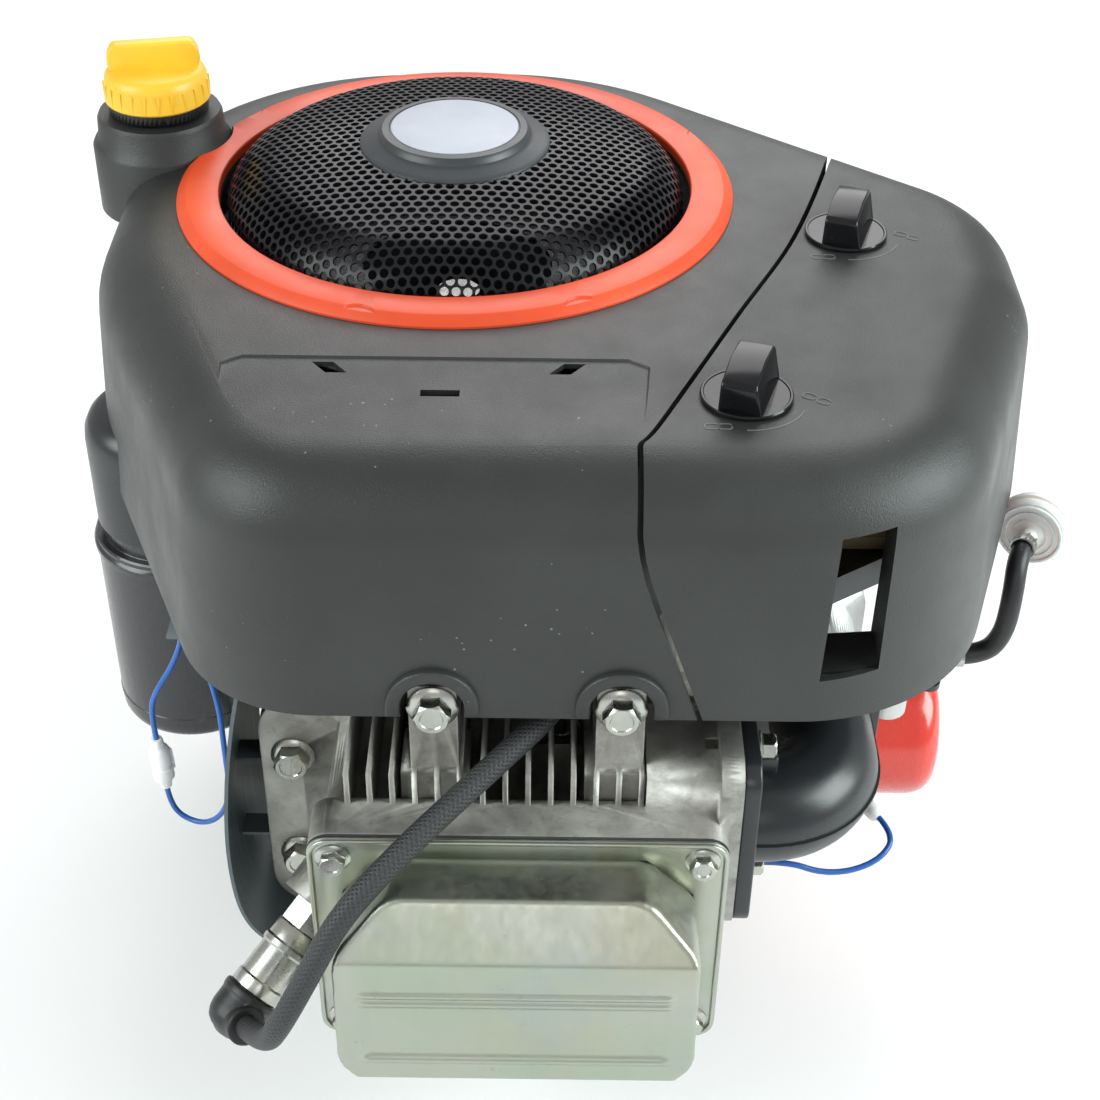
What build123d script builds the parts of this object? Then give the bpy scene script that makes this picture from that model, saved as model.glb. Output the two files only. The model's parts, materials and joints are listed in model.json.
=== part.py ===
"""Vertical-shaft, air-cooled, single-cylinder overhead-valve gasoline engine.

Frame: millimetres, origin on the crankshaft axis at the mounting face, +Z up along
the crankshaft to the flywheel, -Y along the cylinder to the rocker cover, +X toward
the carburetor and the air cleaner.
"""
from build123d import *
import math
import os

os.makedirs("parts", exist_ok=True)

# ---- crank train --------------------------------------------------------------
bore = 87.3
stroke = 57.5
crank_radius = stroke / 2
rod_length = 100.0
pin_to_crown = 30.0
pin_to_skirt = 24.0
crown_clearance = 0.75
deck = crank_radius + rod_length + pin_to_crown + crown_clearance
cylinder_z = 73.0
run_fit = 0.05
clearance = 0.4

pto_diameter = 25.4
pto_length = 80.0
pto_thread_hole = 9.9
key_width = 6.35
journal_diameter = 30.0
crankpin_diameter = 34.0
crankpin_length = 36.0
web_thickness = 13.0
counterweight_radius = 46.0
flywheel_seat_diameter = 25.0

# ---- timing gears and valve gear ----------------------------------------------
gear_module = 2.5
crank_teeth = 18
cam_teeth = 2 * crank_teeth
gear_z = 24.0
gear_width = 10.0
gear_backlash = 0.3
pressure_angle = math.radians(20)
cam_distance = gear_module * (crank_teeth + cam_teeth) / 2
cam_x = 66.0
cam_y = -math.sqrt(cam_distance ** 2 - cam_x ** 2)
cam_base_radius = 13.0
cam_lift = 6.5
cam_shaft_diameter = 18.0
valve_spacing = 40.0
valve_levels = (cylinder_z - valve_spacing / 2, cylinder_z + valve_spacing / 2)
valve_stem_diameter = 6.4
intake_head_diameter = 36.0
exhaust_head_diameter = 32.0
tappet_diameter = 16.0
tappet_wall = 1.5
push_rod_diameter = 5.5
push_rod_hole = 12.0

# ---- castings -----------------------------------------------------------------
wall = 6.0
crank_chamber_radius = 84.0
cam_chamber_radius = 57.0
sump_height = 22.0
case_top = 146.0
bearing_top = 150.0
joint_flange = 13.0
joint_flange_height = 8.0
mount_circle = 254.0
mount_hole = 10.5
mount_ear_radius = 15.0
mount_plate_radius = 104.0
mount_plate_height = 12.0
mount_angles = (45, 135, 225, 315)
barrel_radius = 50.0
fin_thickness = 2.2
fin_pitch = 9.0
head_left = -80.0
head_right = 86.0
head_low = 8.0
head_high = 138.0
head_plate = 21.5
rocker_flange = 258.0
rocker_seat = 212.0
box_left = -50.0
box_right = 117.0
box_low = 17.0
box_high = 134.0
box_rim = 20.0

# ---- blower housing and air cleaner cover --------------------------------------
housing_bottom = 179.0
housing_top = 284.0
housing_wall = 3.0
housing_draft = 7.0
housing_round = 32.0
housing_front = 239.0
seam_gap = 2.2
screen_opening = 212.0
ring_outer = 250.0
ring_height = 4.5
neck_x = -140.5
neck_y = 46.0
neck_radius = 29.0
neck_top = 300.0
pad_x = (0.0, 73.0)
pad_z = 181.0
pad_width = 19.0

# ---- flywheel, fan and screen --------------------------------------------------
ring_gear_teeth = 66
pinion_teeth = 10
ring_gear_module = 3.8
ring_gear_z = 182.0
ring_gear_width = 12.0
flywheel_radius = 117.0
flywheel_low = 166.0
flywheel_high = 200.0
fan_blades = 20
fan_radius = 112.0
fan_height = 42.0
screen_radius = 103.0
screen_top = 309.0
screen_sheet = 1.6

# ---- starter, filters and fuel system ------------------------------------------
starter_angle = 203.2
starter_radius = 38.0
starter_low = 30.0
starter_high = 138.0
drive_cap_high = 204.0
pinion_low = 158.0
pinion_travel = 24.0
starter_distance = ring_gear_module * (ring_gear_teeth + pinion_teeth) / 2 + 0.4
starter_x = starter_distance * math.cos(math.radians(starter_angle))
starter_y = starter_distance * math.sin(math.radians(starter_angle))
oil_filter_radius = 38.0
oil_filter_length = 92.0
oil_filter_x = 142.0
oil_filter_y = -84.0
oil_filter_z = 41.0
port_y = -222.0
port_z = 118.0
port_x = 122.0
port_diameter = 28.0
manifold_radius = 22.0
throat_x = 163.0
throat_z = 112.0
carburetor_front = -158.0
carburetor_length = 62.0
bowl_radius = 20.0
bowl_height = 16.0
bowl_offset = 24.0

# ---- hardware -----------------------------------------------------------------
lead_diameter = 10.0
hose_diameter = 9.5
wire_diameter = 2.6


# ---- small helpers -------------------------------------------------------------
def post(radius, low, high, x=0.0, y=0.0):
    """Cylinder along Z between two heights."""
    return Pos(x, y, (low + high) / 2) * Cylinder(radius, high - low)


def rod_y(radius, y_from, y_to, x, z):
    """Cylinder along Y between two depths."""
    length = abs(y_to - y_from)
    return Pos(x, (y_from + y_to) / 2, z) * Rot(90, 0, 0) * Cylinder(radius, length)


def rod_x(radius, x_from, x_to, y, z):
    """Cylinder along X between two places."""
    length = abs(x_to - x_from)
    return Pos((x_from + x_to) / 2, y, z) * Rot(0, 90, 0) * Cylinder(radius, length)


def block(x_from, x_to, y_from, y_to, z_from, z_to):
    """Box between two corners."""
    middle = Pos((x_from + x_to) / 2, (y_from + y_to) / 2, (z_from + z_to) / 2)
    return middle * Box(abs(x_to - x_from), abs(y_to - y_from), abs(z_to - z_from))


def rounded_block(x_from, x_to, y_from, y_to, z_from, z_to, radius, axis):
    """Box whose edges along one axis are rounded."""
    body = block(x_from, x_to, y_from, y_to, z_from, z_to)
    return fillet(body.edges().filter_by(axis), radius)


def rounded_polygon(corners):
    """Face from (x, y, radius) corners joined by straight lines and tangent arcs."""
    count = len(corners)
    arcs = []
    for index in range(count):
        x, y, radius = corners[index]
        here = Vector(x, y)
        before = (Vector(*corners[index - 1][:2]) - here).normalized()
        after = (Vector(*corners[(index + 1) % count][:2]) - here).normalized()
        half = math.radians(before.get_angle(after)) / 2
        reach = radius / math.tan(half)
        bisector = (before + after).normalized()
        middle = here + bisector * (radius / math.sin(half) - radius)
        arcs.append((here + before * reach, middle, here + after * reach))
    edges = []
    for index in range(count):
        start, middle, end = arcs[index]
        edges.append(ThreePointArc(start, middle, end))
        edges.append(Line(end, arcs[(index + 1) % count][0]))
    return make_face(Wire(edges))


def gear_face(teeth, module, backlash, turn=0.0, addendum=1.0):
    """Outline of an involute spur gear with a tooth on +X, turned by radians."""
    pitch = module * teeth / 2
    base = pitch * math.cos(pressure_angle)
    tip = pitch + addendum * module
    root = pitch - 1.25 * module
    half_tooth = math.pi / (2 * teeth) - backlash / (2 * pitch)
    involute_at_pitch = math.tan(pressure_angle) - pressure_angle

    def flank_angle(radius):
        if radius <= base:
            return half_tooth + involute_at_pitch
        roll = math.acos(base / radius)
        return half_tooth + involute_at_pitch - (math.tan(roll) - roll)

    start = max(base, root)
    flank = [start + (tip - start) * step / 4 for step in range(5)]
    if root < base:
        flank.insert(0, root)
    points = []
    for tooth in range(teeth):
        centre = turn + 2 * math.pi * tooth / teeth
        rising = [(r, centre - flank_angle(r)) for r in flank]
        falling = [(r, centre + flank_angle(r)) for r in reversed(flank)]
        points += [(r * math.cos(a), r * math.sin(a)) for r, a in rising + falling]
    return make_face(Polyline(*points, close=True))


def hex_bolt(across, head, shank_radius, shank, flange_radius=0.0, flange=0.0):
    """Bolt along +Z with its head above Z = 0 and its shank below."""
    body = post(shank_radius, -shank, flange)
    if flange:
        body += post(flange_radius, 0, flange)
    hexagon = extrude(RegularPolygon(across / math.sqrt(3), 6), flange + head)
    return body + chamfer(hexagon.edges().group_by(Axis.Z)[-1], 0.6)


def facing_front(x, y, z):
    """Placement that turns +Z to -Y, out of the front of the engine."""
    return Pos(x, y, z) * Rot(90, 0, 0)


def facing_right(x, y, z):
    """Placement that turns +Z to +X."""
    return Pos(x, y, z) * Rot(0, 90, 0)


def facing_down(x, y, z):
    """Placement that turns +Z to -Z."""
    return Pos(x, y, z) * Rot(180, 0, 0)


def hull_of(circles):
    """Face round a set of (x, y, radius) circles."""
    edges = [(Pos(x, y) * Circle(radius)).edge() for x, y, radius in circles]
    return make_face(make_hull(edges))


def slab(face, low, high):
    """Face on the ground plane raised between two heights."""
    return Pos(0, 0, low) * extrude(face, high - low)


def between(start, end, radius):
    """Round bar between two points."""
    line = Vector(*end) - Vector(*start)
    return extrude(Plane(origin=start, z_dir=line) * Circle(radius), line.length)


def cord_tube(name, route, diameter):
    """Tube along straight runs joined by tangent arcs, as large as the runs allow."""
    points = [Vector(*point) for point in route]
    radii = []
    for before, here, after in zip(points, points[1:], points[2:]):
        arriving = here - before
        leaving = after - here
        turn = math.radians(arriving.get_angle(leaving))
        shorter = min(arriving.length, leaving.length)
        radii.append(0.45 * shorter / math.tan(turn / 2))
    path = FilletPolyline(*points, radius=radii)
    section = Plane(origin=path @ 0, z_dir=path % 0) * Circle(diameter / 2)
    tube = sweep(section, path=path)
    expected = math.pi * diameter ** 2 / 4 * path.length
    print(name, "radii", [round(r, 1) for r in radii])
    print(name, "length", round(path.length, 1), "volume ratio", round(tube.volume / expected, 4))
    return tube


# ---- crank train --------------------------------------------------------------
def case_outline(growth=0.0):
    """Plan of the crankcase: crank chamber and timing-gear chamber in one wall."""
    return hull_of([(0, 0, crank_chamber_radius + growth), (cam_x, cam_y, cam_chamber_radius + growth)])


pin_low = cylinder_z - crankpin_length / 2
pin_high = cylinder_z + crankpin_length / 2
sump_journal_high = gear_z
flywheel_bore = flywheel_seat_diameter


def crank_web(low):
    """One cheek of the crank with its counterweight, between low and low + thickness."""
    cheek = hull_of([(0, 0, 22), (0, -crank_radius, 17)])
    weight = Circle(counterweight_radius) & (Pos(0, 28) * Rectangle(84, 48))
    return slab(cheek + weight, low, low + web_thickness)


def make_crankshaft():
    shaft = post(pto_diameter / 2, -pto_length, -3)
    shaft = chamfer(shaft.edges().group_by(Axis.Z)[0], 1.5)
    shaft += post(pto_diameter / 2 - 0.7, -4, 1)
    shaft += post(journal_diameter / 2, 0.5, pin_low - web_thickness)
    gear = gear_face(crank_teeth, gear_module, gear_backlash, crank_gear_turn)
    shaft += slab(gear, gear_z, gear_z + gear_width)
    shaft += crank_web(pin_low - web_thickness)
    shaft += post(crankpin_diameter / 2, pin_low, pin_high, 0, -crank_radius)
    shaft += crank_web(pin_high)
    shaft += post(journal_diameter / 2, pin_high + web_thickness, bearing_top + 4)
    shaft += post(flywheel_seat_diameter / 2, bearing_top + 4, flywheel_high + 6)
    shaft += post(10, flywheel_high + 6, flywheel_high + 32)
    keyway_top = -pto_length + 58
    keyway = block(-key_width / 2, key_width / 2, pto_diameter / 2 - 3.2, pto_diameter, -pto_length - 1,
                   keyway_top)
    shaft -= keyway
    shaft -= post(pto_thread_hole / 2, -pto_length - 1, -pto_length + 42)
    return shaft


cam_direction = math.atan2(cam_y, cam_x)
crank_gear_turn = cam_direction
cam_gear_turn = cam_direction + math.pi + math.pi / cam_teeth


def make_camshaft():
    place = Pos(cam_x, cam_y, 0)
    gear = gear_face(cam_teeth, gear_module, gear_backlash, cam_gear_turn)
    shaft = place * slab(gear, gear_z, gear_z + gear_width)
    shaft += post(cam_shaft_diameter / 2, 11, case_top - 10, cam_x, cam_y)
    tip_radius = 6.0
    nose = cam_base_radius + cam_lift - tip_radius
    for level, turn in zip(valve_levels, (150, 40)):
        angle = math.radians(turn)
        tip = (nose * math.cos(angle), nose * math.sin(angle), tip_radius)
        lobe = hull_of([(0, 0, cam_base_radius), tip])
        shaft += place * slab(lobe, level - 6, level + 6)
    return shaft


piston_pin_y = -(rod_length + crank_radius)
crown_y = piston_pin_y - pin_to_crown
skirt_y = piston_pin_y + pin_to_skirt
piston_radius = bore / 2 - 0.07


def make_piston():
    body = rod_y(piston_radius, skirt_y, crown_y, 0, cylinder_z)
    body -= rod_y(piston_radius - 4.5, skirt_y + 1, crown_y + 9, 0, cylinder_z)
    bosses = rod_x(15, -41, -14, piston_pin_y, cylinder_z) + rod_x(15, 14, 41, piston_pin_y, cylinder_z)
    body += bosses & rod_y(piston_radius - 2, skirt_y, crown_y, 0, cylinder_z)
    for groove in range(3):
        depth = crown_y + 5 + 4.5 * groove
        ring = rod_y(piston_radius + 1, depth, depth + 1.8, 0, cylinder_z)
        ring -= rod_y(piston_radius - 1.2, depth - 1, depth + 3, 0, cylinder_z)
        body -= ring
    body -= rod_x(10 + run_fit, -50, 50, piston_pin_y, cylinder_z)
    return body


def make_wrist_pin():
    pin = rod_x(10, -34, 34, piston_pin_y, cylinder_z)
    return pin - rod_x(6, -40, 40, piston_pin_y, cylinder_z)


# ---- sump and block -----------------------------------------------------------
joint_bolts = 8
joint_bolt_offset = joint_flange - 6.5
counterbore = 7.5


def joint_bolt_places():
    """Places of the bolts round the sump joint."""
    ring = case_outline(joint_bolt_offset).wire()
    return [ring @ (step / joint_bolts + 0.035) for step in range(joint_bolts)]


def mount_places():
    radius = mount_circle / 2
    turns = [math.radians(angle) for angle in mount_angles]
    return [(radius * math.cos(turn), radius * math.sin(turn)) for turn in turns]


filler_seat = 52.0
filler_tube_radius = 16.0
filler_arm = ((neck_x, neck_y), (-60, 30))


def make_sump():
    pan = slab(case_outline(joint_flange), 0, sump_height)
    plate = Circle(mount_plate_radius)
    for x, y in mount_places():
        plate += hull_of([(x, y, mount_ear_radius), (x * 0.55, y * 0.55, 2 * mount_ear_radius)])
    pan += slab(plate, 0, mount_plate_height)
    pan += slab(hull_of([(x, y, 21) for x, y in filler_arm]), 0, sump_height)
    pan += post(21, 0, filler_seat, neck_x, neck_y)
    cavity = hull_of([(0, 0, crank_chamber_radius - wall), (cam_x, cam_y, cam_chamber_radius - wall)])
    pan -= slab(cavity, 9, sump_height + 1)
    pan += post(26, 8, gear_z - 1)
    pan += post(15, 8, gear_z - 2, cam_x, cam_y)
    pan -= post(cam_shaft_diameter / 2 + run_fit, 10.5, gear_z, cam_x, cam_y)
    pan -= post(journal_diameter / 2 + run_fit, 5.5, gear_z)
    pan -= post(journal_diameter / 2 + 0.5, -1, 6)
    pan -= post(13, 9, filler_seat + 1, neck_x, neck_y)
    pan -= slab(hull_of([(x, y, 8) for x, y in filler_arm]), 9.5, 18)
    pan -= post(filler_tube_radius + run_fit, filler_seat - 12, filler_seat + 1, neck_x, neck_y)
    for x, y in mount_places():
        pan -= post(mount_hole / 2, -1, mount_plate_height + 1, x, y)
        pan -= post(11, mount_plate_height, sump_height + 1, x, y)
    for spot in joint_bolt_places():
        pan -= post(4.3, -1, sump_height + 1, spot.X, spot.Y)
        pan -= post(8, -1, counterbore, spot.X, spot.Y)
    return pan


def make_sump_bolts():
    bolt = hex_bolt(11.1, 6, 4, 20)
    return [facing_down(spot.X, spot.Y, counterbore) * bolt for spot in joint_bolt_places()]


lug_low = 120.0
lug_high = 138.0
starter_lug_reach = starter_distance - starter_radius - 1.7


def tappet_boss():
    return rounded_block(cam_x - 14, cam_x + 14, -84, -46, valve_levels[0] - 12, valve_levels[1] + 12, 6,
                         Axis.Y)


rear_post_angles = (60, 110)
rear_post_reach = 177.0
deck_plate_radius = 131.0
deck_plate_height = 4.0
deck_top = case_top + deck_plate_height


def rear_post_places():
    turns = [math.radians(angle) for angle in rear_post_angles]
    return [(rear_post_reach * math.cos(turn), rear_post_reach * math.sin(turn)) for turn in turns]


def starter_bolt_places():
    turn = math.radians(starter_angle)
    along = starter_lug_reach - 9
    return [(along * math.cos(turn) - side * math.sin(turn), along * math.sin(turn) + side * math.cos(turn))
            for side in (-17, 17)]


def shroud_deck():
    """Plate under the flywheel, with posts at the back for the blower housing."""
    plate = slab(Circle(deck_plate_radius), case_top, case_top + deck_plate_height)
    for x, y in rear_post_places():
        plate += slab(hull_of([(x, y, 9), (x * 0.72, y * 0.72, 16)]), case_top, case_top + deck_plate_height)
        plate += post(8, case_top, housing_bottom, x, y)
        plate -= post(4.05, housing_bottom - 24, housing_bottom + 1, x, y)
    plate -= post(filler_tube_radius + 3.5, case_top - 1, case_top + 6, neck_x, neck_y)
    return plate - post(starter_radius + 1.7, case_top - 1, case_top + 6, starter_x, starter_y)


def make_cylinder_block():
    low = sump_height
    case = slab(case_outline(), low, case_top)
    case += slab(case_outline(joint_flange), low, low + joint_flange_height)
    inner = hull_of([(0, 0, crank_chamber_radius - wall), (cam_x, cam_y, cam_chamber_radius - wall)])
    case -= slab(inner, low - 1, case_top - 8)
    case += shroud_deck()
    case += post(30, case_top - 28, bearing_top)
    case += post(16, case_top - 28, case_top, cam_x, cam_y)
    case += tappet_boss()
    lower_end = 60.0
    barrel = rod_y(barrel_radius, -lower_end, -deck, 0, cylinder_z)
    barrel += block(barrel_radius - 6, cam_x + 11, -84, -deck, valve_levels[0] - 11, valve_levels[1] + 11)
    barrel += rounded_block(head_left, head_right, -deck + 11, -deck, head_low, head_high, 22, Axis.Y)
    fin_y = -deck + 11 + fin_pitch
    while fin_y < -crank_chamber_radius - joint_flange - 3:
        barrel += rounded_block(head_left + 6, head_right - 2, fin_y, fin_y + fin_thickness,
                                head_low + 16, head_high - 6, 30, Axis.Y)
        fin_y += fin_pitch
    case += barrel
    filter_boss = rod_x(10.5, 92, oil_filter_x - 2, oil_filter_y, oil_filter_z)
    filter_boss += block(86, 128, oil_filter_y - 9, -63, 31, 51)
    filter_boss += rod_x(26, oil_filter_x - 8, oil_filter_x - 2, oil_filter_y, oil_filter_z)
    case += filter_boss - post(70, low - 9, low)
    lug = Rot(0, 0, starter_angle) * block(70, starter_lug_reach + 22, -26, 26, lug_low, lug_high)
    lug -= post(starter_radius + 1.7, lug_low - 1, lug_high + 1, starter_x, starter_y)
    case += lug
    case -= rod_y(bore / 2, -lower_end + 5, -deck - 1, 0, cylinder_z)
    case -= post(journal_diameter / 2 + run_fit, case_top - 30, bearing_top + 1)
    case -= post(cam_shaft_diameter / 2 + run_fit, case_top - 30, case_top - 6, cam_x, cam_y)
    for level in valve_levels:
        case -= rod_y(tappet_diameter / 2 + run_fit, -40, -85, cam_x, level)
        case -= rod_y(push_rod_hole / 2, -80, -deck - 1, cam_x, level)
    for x, z in head_bolt_places():
        case -= rod_y(4.5, -deck + 32, -deck - 1, x, z)
    for spot in joint_bolt_places():
        case -= post(4.05, low - 1, low + 7, spot.X, spot.Y)
    for x, y in starter_bolt_places():
        case -= post(4.3, lug_low - 1, lug_high + 1, x, y)
    return case


# ---- cylinder head ------------------------------------------------------------
def head_bolt_places():
    """Left pair beside the bore, and two pairs above and below it."""
    return [(-66, cylinder_z - 30), (-66, cylinder_z + 30), (-8, head_high - 9), (50, head_high - 9),
            (-8, head_low + 8), (50, head_low + 8)]


rocker_pivot_x = cam_x / 2
rocker_pivot_y = -268.0
plug_direction = Vector(-34, -36, -30).normalized()
plug_seat = Vector(-52, -234, 65)
plug_start = plug_seat - plug_direction * 24
intake_flange_half = 49.0


def plug_place(distance):
    """Plane square to the spark plug at a distance out of its seat."""
    return Plane(origin=plug_seat + plug_direction * distance, z_dir=plug_direction)


def plug_post(radius, start, end):
    """Cylinder along the spark plug between two distances from its seat."""
    return extrude(plug_place(start) * Circle(radius), end - start)


fin_top = 150.0


def make_cylinder_head():
    plate = rounded_block(head_left, head_right, -deck, -deck - head_plate, head_low, head_high, 22, Axis.Y)
    core_back = -deck - head_plate
    core = rounded_block(-46, 100, core_back + 1, -rocker_flange, box_low + 5, box_high - 6, 10, Axis.Y)
    rim = rounded_block(box_left, box_right, -rocker_flange + box_rim, -rocker_flange, box_low, box_high,
                        9, Axis.Y)
    head = plate + core + rim
    fin_x = -36.0
    while fin_x < 96:
        head += block(fin_x, fin_x + fin_thickness, core_back + 1, -rocker_flange + box_rim - 3,
                      head_low + 4, fin_top)
        fin_x += fin_pitch
    for x in pad_x:
        half = pad_width / 2
        head += block(x - half, x + half, -212, -rocker_flange + box_rim - 1 + 4, box_high - 10, pad_z + 10)
        head += block(x - half - 4, x + half + 4, -212, -rocker_flange + box_rim + 1, box_high - 10,
                      box_high + 14)
    flange_low = port_z - intake_flange_half
    flange_high = port_z + 41
    head += rounded_block(port_x - 9, port_x, port_y - 27, port_y + 24, flange_low, flange_high, 12, Axis.X)
    head += block(84, port_x - 4, port_y - 22, port_y + 20, flange_low + 6, flange_high - 8)
    head += extrude(Plane(origin=plug_start, z_dir=plug_direction) * Circle(17), 24)
    ears = [(exhaust_x - exhaust_stud, exhaust_y, 8), (exhaust_x, exhaust_y, 19),
            (exhaust_x + exhaust_stud, exhaust_y, 8)]
    head += slab(hull_of(ears), head_low + 2, box_low + 6) + post(19, head_low + 2, box_low + 15,
                                                                  exhaust_x, exhaust_y)
    lug = rounded_block(-72, -46, -250, -236, 40, 58, 6, Axis.Y)
    head += lug
    pocket = rounded_block(-22, 82, -rocker_seat, -rocker_flange - 1, 34, 112, 10, Axis.Y)
    head -= pocket
    head -= rounded_block(box_left + 9, box_right - 9, -rocker_flange + 8, -rocker_flange - 1,
                          box_low + 8, box_high - 8, 8, Axis.Y)
    head -= rod_y(bore / 2, -deck + 1, -deck - 11, 0, cylinder_z)
    for level in valve_levels:
        head -= rod_y(valve_stem_diameter / 2 + run_fit, -deck, -rocker_flange, 0, level)
        head -= rod_y(push_rod_hole / 2, -deck + 1, -rocker_flange, cam_x, level)
        head += rod_y(4.5, -rocker_seat + 1, rocker_pivot_y - 16, rocker_pivot_x, level)
    for x, z in head_bolt_places():
        head -= rod_y(4.5, -deck + 1, -deck - head_plate - 1, x, z)
        head -= rod_y(10, -deck - head_plate, -deck - head_plate - 18, x, z)
    for x in pad_x:
        head -= rod_y(4.05, -200, -245, x, pad_z)
    for x, z in cover_screw_places():
        head -= rod_y(3.05, -rocker_flange + 14, -rocker_flange - 1, x, z)
    head -= rod_x(port_diameter / 2, 88, port_x + 1, port_y, port_z)
    for level in manifold_bolt_levels:
        head -= rod_x(3.05, port_x - 14, port_x + 1, port_y, level)
    head -= post(exhaust_diameter / 2, box_low - 30, box_low + 13, exhaust_x, exhaust_y)
    for x in (exhaust_x - exhaust_stud, exhaust_x + exhaust_stud):
        head -= post(3.35, head_low + 1, head_low + 14, x, exhaust_y)
    head -= rod_y(4.5, -230, -260, -62, 50)
    head -= plug_post(6.95, -30, 1)
    head -= plug_post(13.5, 0, 45)
    return head


exhaust_diameter = 27.0
exhaust_x = 12.0
exhaust_y = -222.0
exhaust_stud = 23.0
manifold_bolt_levels = (port_z - 35, port_z + 32)


def make_head_bolts():
    bolt = hex_bolt(13.5, 7, 4.45, 45, 8.6, 1.6)
    return [facing_front(x, -deck - head_plate, z) * bolt for x, z in head_bolt_places()]


# ---- rocker cover -------------------------------------------------------------
gasket_thickness = 1.0
cover_plate = 1.6
cover_depth = 44.0
cover_sheet = 1.4
cover_corner = 20.0
cover_body_left = box_left + 12
cover_body_right = box_right - 12
cover_body_low = box_low + 9
cover_body_high = box_high - 9


def cover_screw_places():
    left = box_left + 10.5
    right = box_right - 10.5
    return [(left, box_high - 10.5), (right, box_high - 10.5), (left, box_low + 10.5),
            (right, box_low + 10.5)]


def cover_body(inset):
    """Deep-drawn body of the rocker cover, smaller all round by inset."""
    back = -rocker_flange - gasket_thickness - cover_plate
    front = -rocker_flange - cover_depth + inset
    low = cover_body_low + inset
    high = cover_body_high - inset
    side = Plane.YZ * make_face(Polyline((back, low), (back, high), (front + 18, high),
                                         (front + 4, high - 22),
                                         (front, low + 14), (front + 14, low), close=True))
    width = cover_body_right - cover_body_left - 2 * inset
    body = Pos(cover_body_left + inset, 0, 0) * extrude(side, width)
    cut = cover_corner - inset * 0.59
    middle_x = (cover_body_left + cover_body_right) / 2
    middle_z = (cover_body_low + cover_body_high) / 2
    half_x = width / 2
    half_z = (high - low) / 2
    places = [(half_x, half_z - cut), (half_x - cut, half_z), (cut - half_x, half_z), (-half_x, half_z - cut),
              (-half_x, cut - half_z), (cut - half_x, -half_z), (half_x - cut, -half_z), (half_x,
                                                                                          cut - half_z)]
    plane = Plane(origin=(middle_x, back, middle_z), x_dir=(1, 0, 0), z_dir=(0, -1, 0))
    prism = extrude(plane * make_face(Polyline(places, close=True)), cover_depth + 10)
    prism = fillet(prism.edges().filter_by(Axis.Y), 9 - inset)
    body = body & prism
    front_edges = body.edges().group_by(Axis.Y)[0]
    return fillet(front_edges, 5 - inset)


def make_rocker_cover():
    back = -rocker_flange - gasket_thickness
    plate = rounded_block(box_left, box_right, back, back - cover_plate, box_low, box_high, 9, Axis.Y)
    cover = plate + cover_body(0)
    for level in (cylinder_z + 12, cylinder_z - 22):
        cover += rod_x(2.6, cover_body_left + 12, cover_body_right - 12, -rocker_flange - cover_depth + 2,
                       level)
    hollow = cover_body(cover_sheet)
    cover -= hollow
    mouth = hollow & block(box_left, box_right, back - cover_plate - 6, back - cover_plate, box_low, box_high)
    cover -= Pos(0, cover_plate + 2, 0) * mouth
    for x, z in cover_screw_places():
        cover -= rod_y(3.3, back + 1, back - 20, x, z)
    return cover


def make_rocker_cover_gasket():
    back = -rocker_flange
    front = back - gasket_thickness
    sheet = rounded_block(box_left, box_right, back, front, box_low, box_high, 9, Axis.Y)
    sheet -= rounded_block(box_left + 12, box_right - 12, back + 1, front - 1, box_low + 12,
                           box_high - 12, 8, Axis.Y)
    for x, z in cover_screw_places():
        sheet -= rod_y(3.3, back + 1, front - 1, x, z)
    return sheet


def make_rocker_cover_screws():
    screw = hex_bolt(9.5, 4.5, 3, 14, 6.3, 1.2)
    seat = -rocker_flange - gasket_thickness - cover_plate
    return [facing_front(x, seat, z) * screw for x, z in cover_screw_places()]


# ---- valve gear ---------------------------------------------------------------
stem_tip = -262.0
pad_radius = 7.0
rocker_gap = 0.3
spring_seat = -rocker_seat
retainer_y = -250.0
pad_centre_y = stem_tip - rocker_gap - pad_radius


def make_valve(level, head_diameter):
    seat = -deck - 11
    valve = rod_y(head_diameter / 2, seat + 3.2, seat + 0.2, 0, level)
    valve += rod_y(valve_stem_diameter / 2, seat + 1, stem_tip, 0, level)
    valve += rod_y(13, retainer_y, retainer_y - 3, 0, level)
    return valve


def make_rocker(level):
    """Rocker arm over a fixed stud, with a round pad at each end."""
    half_width = 6.0
    arm = hull_of([(0, pad_centre_y, pad_radius), (rocker_pivot_x, pad_centre_y - 3, 9)])
    arm += hull_of([(cam_x, pad_centre_y, pad_radius), (rocker_pivot_x, pad_centre_y - 3, 9)])
    body = slab(arm, level - half_width, level + half_width)
    slot = block(rocker_pivot_x - 7.5, rocker_pivot_x + 7.5, pad_centre_y - 30, pad_centre_y + 30,
                 level - 4.9, level + 4.9)
    return body - slot


def make_push_rod(level):
    """Push rod seated in its cup tappet, the foot just outside the cam's nose circle."""
    foot = cam_y - cam_base_radius - cam_lift - clearance
    rod = rod_y(12, foot, foot - 4, cam_x, level)
    rod += rod_y(tappet_diameter / 2, foot - 3, foot - 38, cam_x, level)
    rod -= rod_y(tappet_diameter / 2 - tappet_wall, foot - 7, foot - 39, cam_x, level)
    ball = push_rod_diameter / 2
    rod += rod_y(ball, foot - 6, stem_tip + ball, cam_x, level)
    return rod + Pos(cam_x, stem_tip + ball, level) * Sphere(ball)


def make_valve_springs():
    coil_radius = 10.5
    wire = 1.7
    length = spring_seat - retainer_y - 2 * wire
    springs = []
    for level in valve_levels:
        line = Helix(pitch=length / 4.5, height=length, radius=coil_radius)
        start = Plane(origin=line @ 0, z_dir=line % 0)
        coil = sweep(start * RegularPolygon(wire, 6), path=line, is_frenet=True)
        springs.append(facing_front(0, spring_seat - wire, level) * coil)
    return springs


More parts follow.
